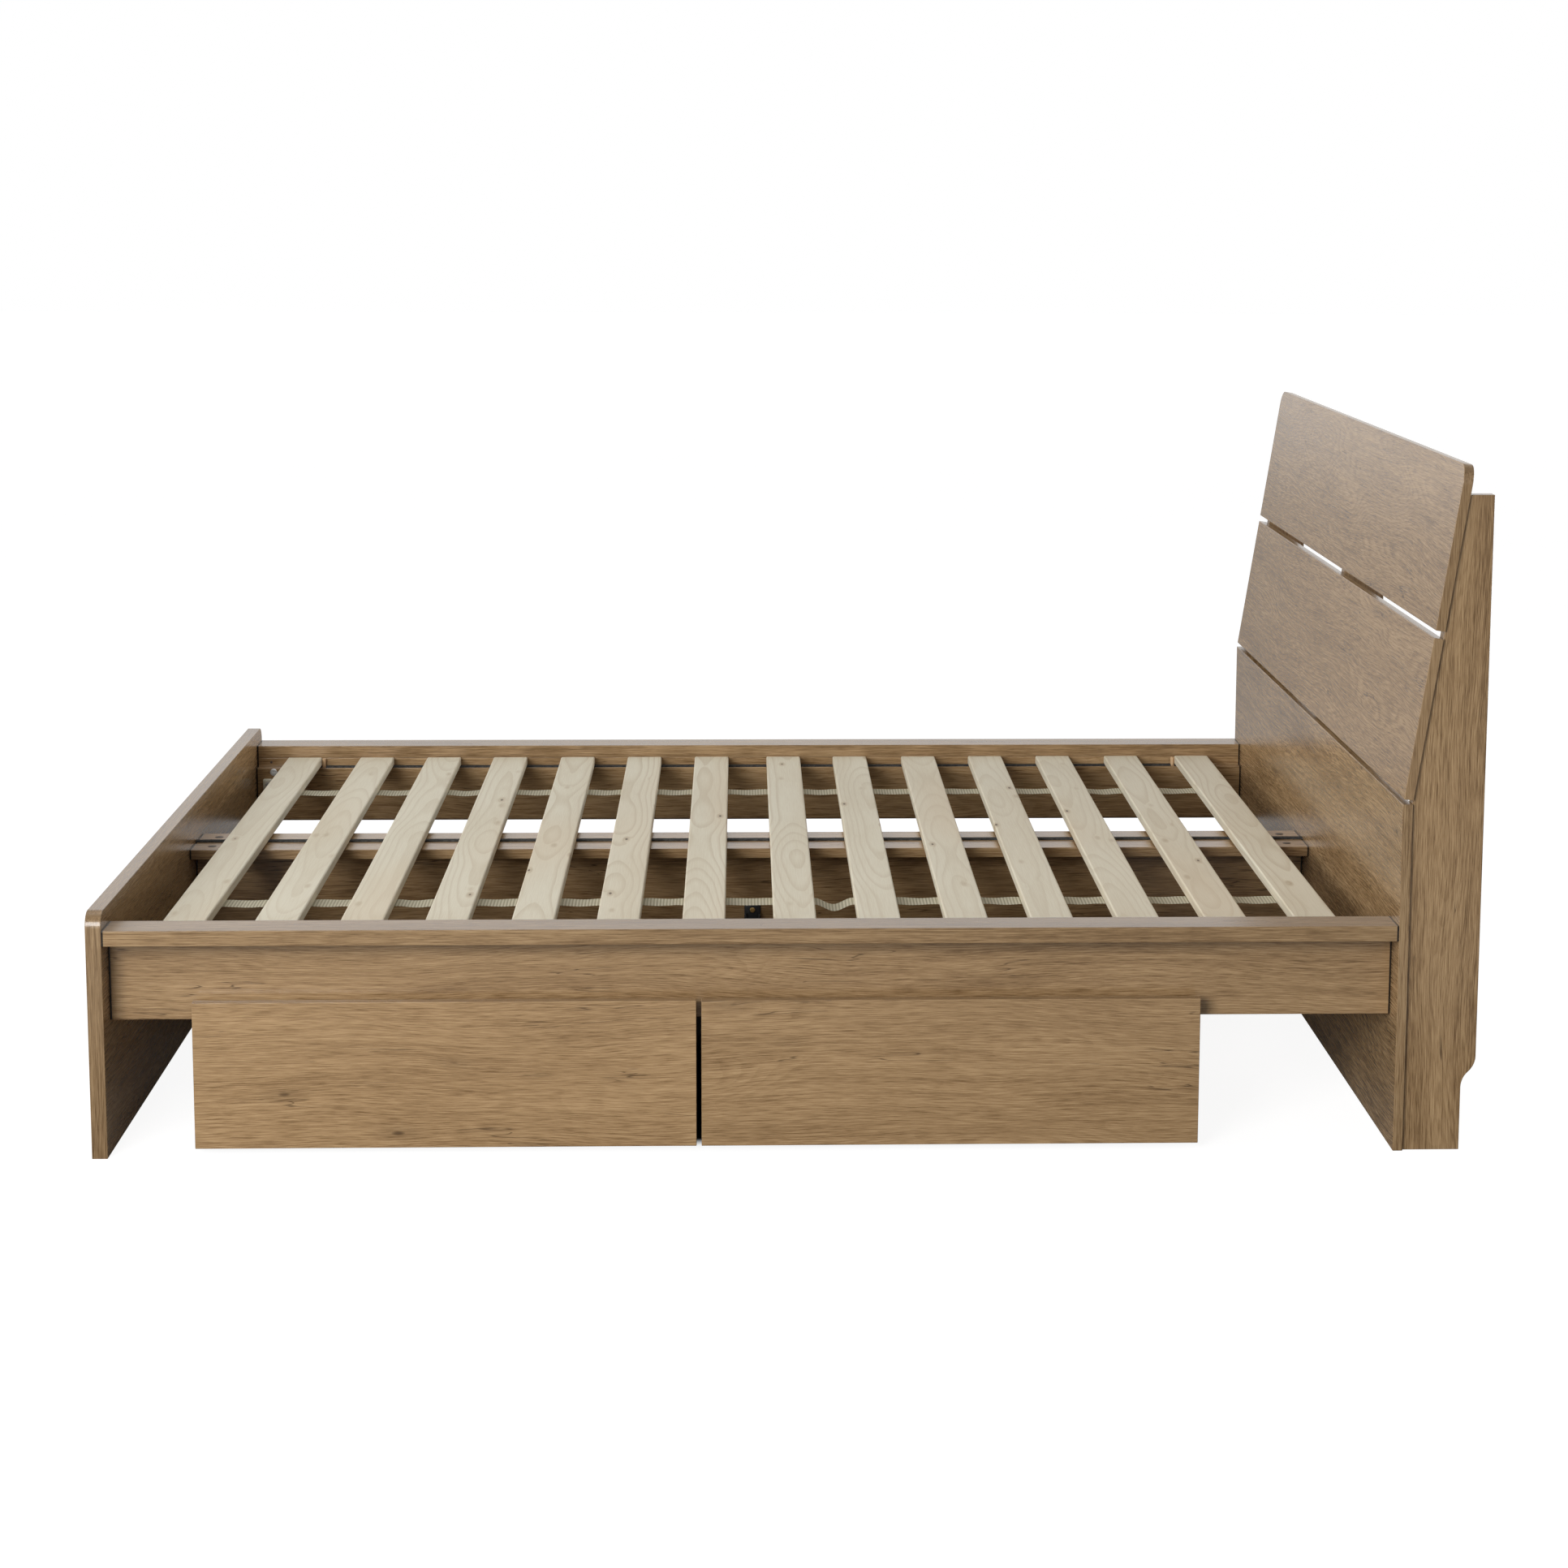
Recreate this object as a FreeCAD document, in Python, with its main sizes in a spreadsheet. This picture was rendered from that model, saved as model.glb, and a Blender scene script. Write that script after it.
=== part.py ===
"""Slatted platform bed with two rolling storage drawers, built as separate named boards."""
import FreeCAD, Part
import os
import re
import Sketcher

doc = FreeCAD.newDocument("platform_bed")
sheet = doc.addObject("Spreadsheet::Sheet", "dims")
V = FreeCAD.Vector

# Driving sizes, millimetres and degrees.
DRIVING = [
    ("zero", "0", "floor level and outline start"),
    ("inner_length", "2050", "clear length between footboard and headboard"),
    ("bed_width", "1690", "width of footboard, headboard and rail pair"),
    ("arris", "1", "rounding of every laminated board edge"),
    ("footboard_thickness", "25", ""),
    ("footboard_height", "399", ""),
    ("footboard_corner", "25", "radius of the two top corners"),
    ("cap_top", "370", "height of the side rail caps above the floor"),
    ("cap_thickness", "25", ""),
    ("cap_width", "70", ""),
    ("rail_thickness", "18", ""),
    ("rail_bottom", "213", "free height under the side rails"),
    ("bearer_thickness", "18", "inner board that carries the slats"),
    ("bearer_lift", "6", "bearer above the lower edge of its rail"),
    ("felt_thickness", "3", "anti-squeak strips"),
    ("felt_width", "15", ""),
    ("felt_setback", "1.5", "felt edge to the free edge of the bearer"),
    ("slat_width", "70", ""),
    ("slat_thickness", "17", ""),
    ("slat_round", "3", ""),
    ("slat_proud", "2", "slat top above the underside of the caps"),
    ("slat_foot_margin", "65", "footboard to first slat"),
    ("slat_head_margin", "69", "last slat to headboard"),
    ("slat_end_gap", "4", "slat end to cap"),
    ("web_width", "50", "straps joining the slats"),
    ("web_thickness", "1.2", ""),
    ("web_offset", "480", "strap centre to slat centre"),
    ("web_inset", "14", "strap end to the outer edge of the end slats"),
    ("peg_diameter", "8", "dowels that locate the end slats"),
    ("peg_height", "18", ""),
    ("peg_gap", "0.2", "dowel face to slat edge"),
    ("peg_felt_gap", "0.3", "dowel face to the ends of the felt strips"),
    ("panel_thickness", "16", "headboard boards and drawer parts"),
    ("panel_height", "567", "headboard lower panel"),
    ("lean_angle", "8.78", "backward lean of the two upper boards"),
    ("middle_height", "261", ""),
    ("top_height", "264", ""),
    ("lower_gap", "8.4", "lower panel to middle board"),
    ("upper_gap", "12", "middle board to top board"),
    ("headboard_corner", "30", "radius of the two top corners"),
    ("upright_depth", "115", "behind the lower panel"),
    ("upright_drop", "48.1", "upright top below the top of the leaning boards"),
    ("upright_thickness", "25", ""),
    ("upright_inset", "6", "outer uprights to the board ends"),
    ("notch_depth", "23", "skirting board notch"),
    ("notch_straight", "103", ""),
    ("notch_curve", "52", "height of the curve above the notch"),
    ("centre_offset", "28", "centre beam towards the far side"),
    ("centre_thickness", "16", "centre panel"),
    ("cleat_width", "65", "boards on both sides of the centre panel"),
    ("cleat_thickness", "18", ""),
    ("bracket_size", "30", "angle bracket on the centre panel"),
    ("bracket_wall", "4", ""),
    ("bracket_top", "207", ""),
    ("cam_diameter", "15", "visible discs of the cam fittings"),
    ("cam_proud", "0.6", ""),
    ("cam_end", "36", "cam centre to the end panels"),
    ("cam_drop", "9", "cam centre below the top of the bearer"),
    ("plug_diameter", "5", "small cover plugs on the rail panels"),
    ("plug_end", "29", "plug centre to the end panels"),
    ("plug_rise", "9", "plug centre above the top of the bearer"),
    ("block_length", "18", "corner connector blocks"),
    ("block_height", "21", ""),
    ("block_depth", "12", ""),
    ("block_end", "15", "block to end panel"),
    ("block_drop", "22", "block below the top of the bearer"),
    ("drawer_front_height", "239", ""),
    ("drawer_floor_gap", "11", ""),
    ("drawer_gap", "8", "between the two fronts"),
    ("drawer_foot_margin", "135.5", "footboard to the first drawer front"),
    ("drawer_head_margin", "312.5", "last drawer front to the headboard"),
    ("drawer_setback", "14", "drawer front behind the cap edge"),
    ("box_inset", "13", "drawer side behind the end of its front"),
    ("box_back_gap", "145", "drawer box to the centre panel"),
    ("box_top", "200", ""),
    ("box_panel", "15", "thickness of sides and back"),
    ("box_floor_lift", "16", "drawer bottom board above the lower edge of the sides"),
    ("box_floor_thickness", "9", ""),
    ("wheel_diameter", "40", ""),
    ("wheel_width", "17", ""),
    ("wheel_round", "3", ""),
    ("wheel_headroom", "2", "wheel to the fork plate above it"),
    ("hub_diameter", "14", ""),
    ("hub_proud", "1.2", ""),
    ("wheel_end_distance", "70", "wheel axis to front or back of the box"),
    ("wheel_side_distance", "45", "wheel centre to the drawer side"),
    ("fork_clearance", "0.4", "wheel hub to each fork cheek"),
    ("cheek_thickness", "3", ""),
    ("cheek_drop", "12", "cheek end below the wheel axis"),
    ("fork_length", "34", ""),
    ("fork_plate", "4", ""),
]

# The slats hang on two loose straps, so each lies a little off its even place.
SLAT_SHIFTS = ("0", "7", "3.5", "-1", "-3", "-6.5", "-9", "-2", "-6", "-5", "-7", "-7.5", "-6", "0")
SLAT_NUMBERS = range(1, len(SLAT_SHIFTS) + 1)
DRIVING.append(("slat_count", str(len(SLAT_SHIFTS)), ""))
DRIVING += [(f"slat_shift_{number}", shift, "slat off its even place")
            for number, shift in zip(SLAT_NUMBERS, SLAT_SHIFTS)]

# Sizes that follow from the ones above; x runs from foot to head, the near side is -y.
DERIVED = [
    ("total_length", "footboard_thickness + inner_length + panel_thickness + upright_depth"),
    ("foot_face", "footboard_thickness - total_length / 2"),
    ("head_face", "foot_face + inner_length"),
    ("half_width", "bed_width / 2"),
    ("cap_underside", "cap_top - cap_thickness"),
    ("cap_inner", "half_width - cap_width"),
    ("bearer_inner", "cap_inner - bearer_thickness"),
    ("slat_top", "cap_underside + slat_proud"),
    ("slat_bottom", "slat_top - slat_thickness"),
    ("bearing_top", "slat_bottom - felt_thickness"),
    ("bearer_bottom", "rail_bottom + bearer_lift"),
    ("cam_height", "bearing_top - cam_drop"),
    ("plug_height", "bearing_top + plug_rise"),
    ("block_top", "bearing_top - block_drop"),
    ("slat_length", "2 * (cap_inner - slat_end_gap)"),
    ("slat_start", "foot_face + slat_foot_margin"),
    ("slat_span", "inner_length - slat_foot_margin - slat_head_margin"),
    ("slat_step", "(slat_span - slat_width) / (slat_count - 1)"),
    ("peg_foot", "slat_start + slat_width + peg_gap + peg_diameter / 2"),
    ("peg_head", "slat_start + slat_span - slat_width - peg_gap - peg_diameter / 2"),
    ("peg_clear", "peg_diameter / 2 + peg_felt_gap"),
    ("peg_row", "cap_inner - bearer_thickness / 2"),
    ("felt_start", "peg_foot + peg_clear"),
    ("felt_length", "peg_head - peg_clear - felt_start"),
    ("felt_foot_pad", "peg_foot - peg_clear - slat_start"),
    ("felt_head_start", "peg_head + peg_clear"),
    ("felt_head_pad", "slat_start + slat_span - felt_head_start"),
    ("panel_back", "head_face + panel_thickness"),
    ("rise", "cos(lean_angle)"),
    ("run", "sin(lean_angle)"),
    ("middle_start", "panel_height + lower_gap"),
    ("middle_front", "panel_back - panel_thickness / rise + lower_gap * run / rise"),
    ("top_start", "middle_start + (middle_height + upper_gap) * rise"),
    ("top_front", "middle_front + (middle_height + upper_gap) * run"),
    ("upright_height", "top_start + top_height * rise - upright_drop"),
    ("upright_run", "(upright_height - panel_height) * run / rise"),
    ("notch_back", "upright_depth - notch_depth"),
    ("notch_middle", "upright_depth - notch_depth / 2"),
    ("notch_rise", "notch_straight + notch_curve / 2"),
    ("notch_top", "notch_straight + notch_curve"),
    ("centre_near", "centre_offset - centre_thickness / 2"),
    ("centre_far", "centre_offset + centre_thickness / 2"),
    ("cleat_bottom", "bearing_top - cleat_thickness"),
    ("front_face", "drawer_setback - half_width"),
    ("front_back", "front_face + panel_thickness"),
    ("drawer_span", "inner_length - drawer_foot_margin - drawer_head_margin"),
    ("drawer_width", "(drawer_span - drawer_gap) / 2"),
    ("box_depth", "centre_near - box_back_gap - front_back"),
    ("fork_plate_bottom", "wheel_diameter + wheel_headroom"),
    ("box_floor", "fork_plate_bottom + fork_plate"),
    ("box_bottom", "box_floor - box_floor_lift"),
    ("box_width", "drawer_width - 2 * box_inset"),
    ("box_height", "box_top - box_bottom"),
    ("box_inner", "box_width - 2 * box_panel"),
    ("wheel_radius", "wheel_diameter / 2"),
    ("hub_length", "wheel_width + 2 * hub_proud"),
    ("cheek_inner", "hub_length / 2 + fork_clearance"),
    ("fork_width", "2 * (cheek_inner + cheek_thickness)"),
    ("cheek_bottom", "wheel_radius - cheek_drop"),
    ("wheel_front_row", "front_back + wheel_end_distance"),
    ("wheel_rear_row", "front_back + box_depth - wheel_end_distance"),
    ("wheel_reach", "box_inner / 2 - wheel_side_distance"),
]

ALIASES = [row[0] for row in DRIVING] + [row[0] for row in DERIVED]
WORD = re.compile(r"\b(" + "|".join(sorted(ALIASES, key=len, reverse=True)) + r")\b")


def fx(text):
    """Turn a formula in alias names into an expression that reads the sheet."""
    return WORD.sub(r"dims.\1", str(text))


for row, (alias, value, note) in enumerate(DRIVING, start=1):
    sheet.set(f"A{row}", alias)
    sheet.set(f"B{row}", value)
    sheet.set(f"C{row}", note)
    sheet.setAlias(f"B{row}", alias)
for row, (alias, formula) in enumerate(DERIVED, start=len(DRIVING) + 2):
    sheet.set(f"A{row}", alias)
    sheet.setAlias(f"B{row}", alias)
    sheet.set(f"B{row}", "=" + formula)
doc.recompute()

NODES = []


def value(alias):
    """Return the present number of one alias."""
    return float(sheet.get(alias))


def bind(obj, **formulas):
    """Bind properties of an object to formulas."""
    for name, formula in formulas.items():
        obj.setExpression(name, fx(formula))


def place(obj, x, y, z):
    """Bind the position of an object to formulas."""
    for axis, formula in zip("xyz", (x, y, z)):
        obj.setExpression(f"Placement.Base.{axis}", fx(formula))


def node(obj, label):
    """Register an object as one exported piece."""
    obj.Label = label
    NODES.append(obj)
    return obj


def edges_where(feature, test):
    """List the names of the edges of a feature that pass a test."""
    found = []
    for number, edge in enumerate(feature.Shape.Edges, start=1):
        if test(edge):
            found.append(f"Edge{number}")
    return found


def round_edges(body, feature, names, radius):
    """Round the named edges of the last feature of a body."""
    fillet = body.newObject("PartDesign::Fillet", body.Name + "_round")
    fillet.Base = (feature, names)
    bind(fillet, Radius=radius)
    body.Tip = fillet
    doc.recompute()
    return fillet


def board(label, size, corner, radius="arris"):
    """Make a straight board with rounded edges.

    Args are the label, the three size formulas, the position formulas of the
    lowest corner and the formula of the edge rounding.
    """
    body = doc.addObject("PartDesign::Body", label)
    stock = body.newObject("PartDesign::AdditiveBox", label + "_stock")
    bind(stock, Length=size[0], Width=size[1], Height=size[2])
    place(body, *corner)
    doc.recompute()
    round_edges(body, stock, edges_where(stock, lambda edge: True), radius)
    return node(body, label)


def plain(name, size, corner):
    """Make a bound box for use in a group."""
    box = doc.addObject("Part::Box", name)
    bind(box, Length=size[0], Width=size[1], Height=size[2])
    place(box, *corner)
    return box


def rod(name, diameter, length, base, axis):
    """Make a bound cylinder for use in a group, along the given axis."""
    cylinder = doc.addObject("Part::Cylinder", name)
    cylinder.Placement.Rotation = FreeCAD.Rotation(V(0, 0, 1), axis)
    bind(cylinder, Radius=f"({diameter}) / 2", Height=length)
    place(cylinder, *base)
    return cylinder


def group(label, pieces):
    """Collect separate small solids into one exported piece."""
    compound = doc.addObject("Part::Compound", label)
    compound.Links = pieces
    return node(compound, label)


def fuse(name, pieces):
    """Join overlapping solids into one."""
    joined = doc.addObject("Part::MultiFuse", name)
    joined.Shapes = pieces
    return joined


def plane_of(body, role):
    """Find an origin plane of a body by its role."""
    return next(item for item in body.Origin.OriginFeatures if item.Role == role)


def new_sketch(body, role):
    """Put an empty sketch on an origin plane of a body."""
    sketch = body.newObject("Sketcher::SketchObject", body.Name + "_outline")
    sketch.AttachmentSupport = [(plane_of(body, role), "")]
    sketch.MapMode = "FlatFace"
    return sketch


def pin_vertex(sketch, geo, end, x, y):
    """Hold one end of a sketch curve at formulas measured from the origin."""
    point = sketch.getPoint(geo, end)
    for kind, formula, now in (("DistanceX", x, point.x), ("DistanceY", y, point.y)):
        number = sketch.addConstraint(Sketcher.Constraint(kind, -1, 1, geo, end, now))
        sketch.setExpression(f"Constraints[{number}]", fx(formula))


def rounded_top_board(label, length, width, height, corner, radius):
    """Make an upright board whose two top corners are rounded.

    The outline lies across the bed and is padded along it by the thickness.
    """
    body = doc.addObject("PartDesign::Body", label)
    sketch = new_sketch(body, "YZ_Plane")
    wide, tall, bend = value(width), value(height), value(radius)
    half = wide / 2
    corners = [V(half, tall - bend, 0), V(half - bend, tall, 0),
               V(bend - half, tall, 0), V(-half, tall - bend, 0)]
    right = sketch.addGeometry(Part.LineSegment(V(half, 0, 0), corners[0]))
    right_arc = sketch.addGeometry(Part.Arc(
        corners[0],
        corners[1] + (corners[0] - corners[1]) / 2 + V(1, 1, 0) * bend * (2 ** 0.5 - 1) / 2,
        corners[1]))
    top = sketch.addGeometry(Part.LineSegment(corners[1], corners[2]))
    left_arc = sketch.addGeometry(Part.Arc(
        corners[2],
        corners[2] + (corners[3] - corners[2]) / 2 + V(-1, 1, 0) * bend * (2 ** 0.5 - 1) / 2,
        corners[3]))
    left = sketch.addGeometry(Part.LineSegment(corners[3], V(-half, 0, 0)))
    bottom = sketch.addGeometry(Part.LineSegment(V(-half, 0, 0), V(half, 0, 0)))
    start, end = 1, 2
    pin_vertex(sketch, right, start, f"({width}) / 2", "0")
    pin_vertex(sketch, right, end, f"({width}) / 2", f"{height} - {radius}")
    pin_vertex(sketch, top, start, f"({width}) / 2 - {radius}", height)
    pin_vertex(sketch, top, end, f"{radius} - ({width}) / 2", height)
    pin_vertex(sketch, left, start, f"-({width}) / 2", f"{height} - {radius}")
    pin_vertex(sketch, left, end, f"-({width}) / 2", "0")
    for first, second in ((left, bottom), (bottom, right)):
        sketch.addConstraint(Sketcher.Constraint("Coincident", first, end, second, start))
    # A counter-clockwise arc starts where its angle is smallest.
    for arc, before, after in ((right_arc, right, top), (left_arc, top, left)):
        sketch.addConstraint(Sketcher.Constraint("Tangent", before, end, arc, start))
        sketch.addConstraint(Sketcher.Constraint("Coincident", arc, end, after, start))
    pad = body.newObject("PartDesign::Pad", label + "_pad")
    pad.Profile = sketch
    bind(pad, Length=length)
    place(body, *corner)
    doc.recompute()
    limit = value("arris")

    def on_face(edge):
        box = edge.BoundBox
        return box.XLength < limit

    round_edges(body, pad, edges_where(pad, on_face), "arris")
    return node(body, label)


def upright(label, y):
    """Make a headboard upright with an inclined front and a skirting notch."""
    body = doc.addObject("PartDesign::Body", label)
    sketch = new_sketch(body, "XZ_Plane")
    outline = [
        ("zero", "zero"), ("zero", "panel_height"), ("upright_run", "upright_height"),
        ("upright_depth", "upright_height"), ("upright_depth", "notch_top"),
        ("notch_middle", "notch_rise"), ("notch_back", "notch_straight"), ("notch_back", "zero"),
    ]
    points = [V(value(x), value(z), 0) for x, z in outline]
    depth, drop = value("notch_depth") / 2, value("notch_curve") / 2
    bend = (depth ** 2 + drop ** 2) / (2 * depth)
    upper_centre = points[4] - V(bend, 0, 0)
    lower_centre = points[6] + V(bend, 0, 0)
    start, end = 1, 2
    lines = {}
    for first, second in ((0, 1), (1, 2), (2, 3), (3, 4), (6, 7), (7, 0)):
        lines[first] = sketch.addGeometry(Part.LineSegment(points[first], points[second]))
        pin_vertex(sketch, lines[first], start, *outline[first])
    for first, second in ((0, 1), (1, 2), (2, 3), (6, 7), (7, 0)):
        sketch.addConstraint(Sketcher.Constraint(
            "Coincident", lines[first], end, lines[second], start))
    pin_vertex(sketch, lines[3], end, *outline[4])

    def arc(centre, first, second, bulge):
        middle = centre + ((first + second) / 2 - centre).normalize() * bulge
        return sketch.addGeometry(Part.Arc(first, middle, second))

    upper = arc(upper_centre, points[5], points[4], bend)
    lower = arc(lower_centre, points[5], points[6], bend)
    sketch.addConstraint(Sketcher.Constraint("Tangent", lines[3], end, upper, end))
    pin_vertex(sketch, upper, start, *outline[5])
    sketch.addConstraint(Sketcher.Constraint("Coincident", lower, start, upper, start))
    sketch.addConstraint(Sketcher.Constraint("Tangent", lines[6], start, lower, end))
    pad = body.newObject("PartDesign::Pad", label + "_pad")
    pad.Profile = sketch
    pad.Reversed = True
    bind(pad, Length="upright_thickness")
    place(body, "panel_back", y, "0")
    doc.recompute()
    limit = value("arris")

    def on_face(edge):
        return edge.BoundBox.YLength < limit

    round_edges(body, pad, edges_where(pad, on_face), "arris")
    return node(body, label)


SIDES = (("near", -1), ("far", 1))


def edge_at(side, distance, width):
    """Formula of the low y of a piece that starts at a distance from the centre line."""
    return f"{distance}" if side > 0 else f"-({distance}) - ({width})"


# Footboard and side rails.
rounded_top_board("footboard", "footboard_thickness", "bed_width", "footboard_height",
                  ("foot_face - footboard_thickness", "0", "0"), "footboard_corner")
for name, side in SIDES:
    board(f"rail_panel_{name}",
          ("inner_length", "rail_thickness", "cap_underside - rail_bottom"),
          ("foot_face", edge_at(side, "cap_inner", "rail_thickness"), "rail_bottom"))
    board(f"rail_cap_{name}",
          ("inner_length", "cap_width", "cap_thickness"),
          ("foot_face", edge_at(side, "cap_inner", "cap_width"), "cap_underside"))
    board(f"rail_bearer_{name}",
          ("inner_length", "bearer_thickness", "bearing_top - bearer_bottom"),
          ("foot_face", edge_at(side, "bearer_inner", "bearer_thickness"),
           "bearer_bottom"))
    felt_row = edge_at(side, "bearer_inner + felt_setback", "felt_width")
    group(f"bearer_felt_{name}",
          [plain(f"felt_{name}_{part}", (length, "felt_width", "felt_thickness"),
                 (start, felt_row, "bearing_top"))
           for part, start, length in (("foot", "slat_start", "felt_foot_pad"),
                                       ("middle", "felt_start", "felt_length"),
                                       ("head", "felt_head_start", "felt_head_pad"))])

# Centre beam: an upright panel between two flat boards.
board("centre_panel",
      ("inner_length", "centre_thickness", "bearing_top"),
      ("foot_face", "centre_near", "0"))
board("centre_board_near",
      ("inner_length", "cleat_width", "cleat_thickness"),
      ("foot_face", "centre_near - cleat_width", "cleat_bottom"))
board("centre_board_far",
      ("inner_length", "cleat_width", "cleat_thickness"),
      ("foot_face", "centre_far", "cleat_bottom"))
board("centre_felt",
      ("inner_length", "felt_width", "felt_thickness"),
      ("foot_face", "centre_offset - felt_width / 2", "bearing_top"), "arris / 2")

# Slats and the two straps under them.
for number in SLAT_NUMBERS:
    board(f"slat_{number:02d}",
          ("slat_width", "slat_length", "slat_thickness"),
          (f"slat_start + slat_step * {number - 1} + slat_shift_{number}",
           "-slat_length / 2", "slat_bottom"),
          "slat_round")
for name, side in SIDES:
    board(f"webbing_{name}",
          ("slat_span - 2 * web_inset", "web_width", "web_thickness"),
          ("slat_start + web_inset", f"{side} * web_offset - web_width / 2",
           "slat_bottom - web_thickness"), "web_thickness / 4")

# Dowels beside the end slats.
pegs = []
for name, side in SIDES:
    for end_name in ("foot", "head"):
        pegs.append(rod(f"peg_{name}_{end_name}", "peg_diameter", "peg_height",
                        (f"peg_{end_name}", f"{side} * peg_row", "bearing_top"), V(0, 0, 1)))
group("slat_pegs", pegs)

# Fittings at the foot: cam discs, small plugs and connector blocks on the side rails.
# The centre boards have a cam disc at both ends.
discs, covers, blocks = [], [], []
for name, side in SIDES:
    inward = V(0, -side, 0)
    discs.append(rod(f"bearer_cam_{name}", "cam_diameter", "cam_proud",
                     ("foot_face + cam_end", f"{side} * bearer_inner", "cam_height"), inward))
    row = "centre_near - cleat_width / 2" if side < 0 else "centre_far + cleat_width / 2"
    for end_name, x in (("foot", "foot_face + cam_end"), ("head", "head_face - cam_end")):
        covers.append(rod(f"board_cam_{name}_{end_name}", "cam_diameter", "cam_proud",
                          (x, row, "bearing_top"), V(0, 0, 1)))
    covers.append(rod(f"rail_plug_{name}", "plug_diameter", "cam_proud",
                      ("foot_face + plug_end", f"{side} * cap_inner", "plug_height"), inward))
    blocks.append(plain(f"block_{name}", ("block_length", "block_depth", "block_height"),
                        ("foot_face + block_end",
                         edge_at(side, "bearer_inner - block_depth", "block_depth"),
                         "block_top - block_height")))
group("cam_locks", discs)
group("cam_covers", covers)
group("corner_connectors", blocks)

# Angle bracket with its screw at the middle of the centre panel.
middle = "foot_face + inner_length / 2"
wall = plain("bracket_wall_plate", ("bracket_size", "bracket_wall", "bracket_size"),
             (f"{middle} - bracket_size / 2", "centre_near - bracket_wall",
              "bracket_top - bracket_size"))
shelf = plain("bracket_shelf", ("bracket_size", "bracket_size", "bracket_wall"),
              (f"{middle} - bracket_size / 2", "centre_near - bracket_size",
               "bracket_top - bracket_size"))
ribs = [plain(f"bracket_rib_{name}", ("bracket_wall", "bracket_size / 2", "bracket_size / 2"),
              (x, "centre_near - bracket_size / 2", "bracket_top - bracket_size"))
        for name, x in (("foot", f"{middle} - bracket_size / 2"),
                        ("head", f"{middle} + bracket_size / 2 - bracket_wall"))]
group("centre_bracket", [fuse("bracket_body", [wall, shelf] + ribs)])
group("bracket_screw", [rod("bracket_screw_head", "bracket_size / 3", "bracket_wall / 2",
                            (middle, "centre_near - bracket_wall",
                             "bracket_top - bracket_size / 3"), V(0, -1, 0))])

# Headboard.
board("headboard_lower_panel",
      ("panel_thickness", "bed_width", "panel_height"),
      ("head_face", "-half_width", "0"))
leaning = board("headboard_middle_board",
                ("panel_thickness", "bed_width", "middle_height"),
                ("middle_front", "-half_width", "middle_start"))
top_board = rounded_top_board("headboard_top_board", "panel_thickness", "bed_width",
                              "top_height", ("top_front", "0", "top_start"),
                              "headboard_corner")
for tilted in (leaning, top_board):
    tilted.Placement.Rotation = FreeCAD.Rotation(V(0, 1, 0), value("lean_angle"))
    tilted.setExpression("Placement.Rotation.Angle", fx("lean_angle"))
upright("headboard_upright_near", "upright_inset - half_width")
upright("headboard_upright_middle", "-upright_thickness / 2")
upright("headboard_upright_far", "half_width - upright_inset - upright_thickness")


def drawer(name, left):
    """Make one drawer whose front starts at the formula left."""
    side_left = f"{left} + box_inset"
    inner_left = f"{side_left} + box_panel"
    centre = f"{left} + drawer_width / 2"
    board(f"{name}_front", ("drawer_width", "panel_thickness", "drawer_front_height"),
          (left, "front_face", "drawer_floor_gap"))
    board(f"{name}_side_foot", ("box_panel", "box_depth", "box_height"),
          (side_left, "front_back", "box_bottom"))
    board(f"{name}_side_head", ("box_panel", "box_depth", "box_height"),
          (f"{inner_left} + box_inner", "front_back", "box_bottom"))
    board(f"{name}_back", ("box_inner", "box_panel", "box_height"),
          (inner_left, "front_back + box_depth - box_panel", "box_bottom"))
    board(f"{name}_bottom", ("box_inner", "box_depth - box_panel", "box_floor_thickness"),
          (inner_left, "front_back", "box_floor"))
    forks = []
    for row in ("front", "rear"):
        row_y = f"wheel_{row}_row"
        wheels = []
        for sign in (-1, 1):
            tag = f"{name}_{row}_{'head' if sign > 0 else 'foot'}"
            x = f"{centre} + {sign} * wheel_reach"
            tyre_body = doc.addObject("PartDesign::Body", tag + "_tyre")
            tyre = tyre_body.newObject("PartDesign::AdditiveCylinder", tag + "_disc")
            bind(tyre, Radius="wheel_radius", Height="wheel_width")
            doc.recompute()
            round_edges(tyre_body, tyre, edges_where(
                tyre, lambda edge: edge.Curve.TypeId == "Part::GeomCircle"), "wheel_round")
            tyre_body.Placement.Rotation = FreeCAD.Rotation(V(0, 0, 1), V(1, 0, 0))
            place(tyre_body, f"{x} - wheel_width / 2", row_y, "wheel_radius")
            hub = rod(tag + "_hub", "hub_diameter", "hub_length",
                      (f"{x} - hub_length / 2", row_y, "wheel_radius"), V(1, 0, 0))
            wheels.append(fuse(tag + "_wheel", [tyre_body, hub]))
            cheeks = [plain(f"{tag}_cheek_{label}",
                            ("cheek_thickness", "fork_length",
                             "fork_plate_bottom - cheek_bottom"),
                            (f"{x} + {offset}", f"{row_y} - fork_length / 2",
                             "cheek_bottom"))
                      for label, offset in (("a", "cheek_inner"),
                                            ("b", "-cheek_inner - cheek_thickness"))]
            plate = plain(f"{tag}_plate", ("fork_width", "fork_length", "fork_plate"),
                          (f"{x} - fork_width / 2", f"{row_y} - fork_length / 2",
                           "fork_plate_bottom"))
            forks.append(fuse(tag + "_fork", cheeks + [plate]))
        group(f"{name}_wheels_{row}", wheels)
    group(f"{name}_wheel_forks", forks)


drawer("drawer_foot", "foot_face + drawer_foot_margin")
drawer("drawer_head", "foot_face + drawer_foot_margin + drawer_width + drawer_gap")

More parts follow.
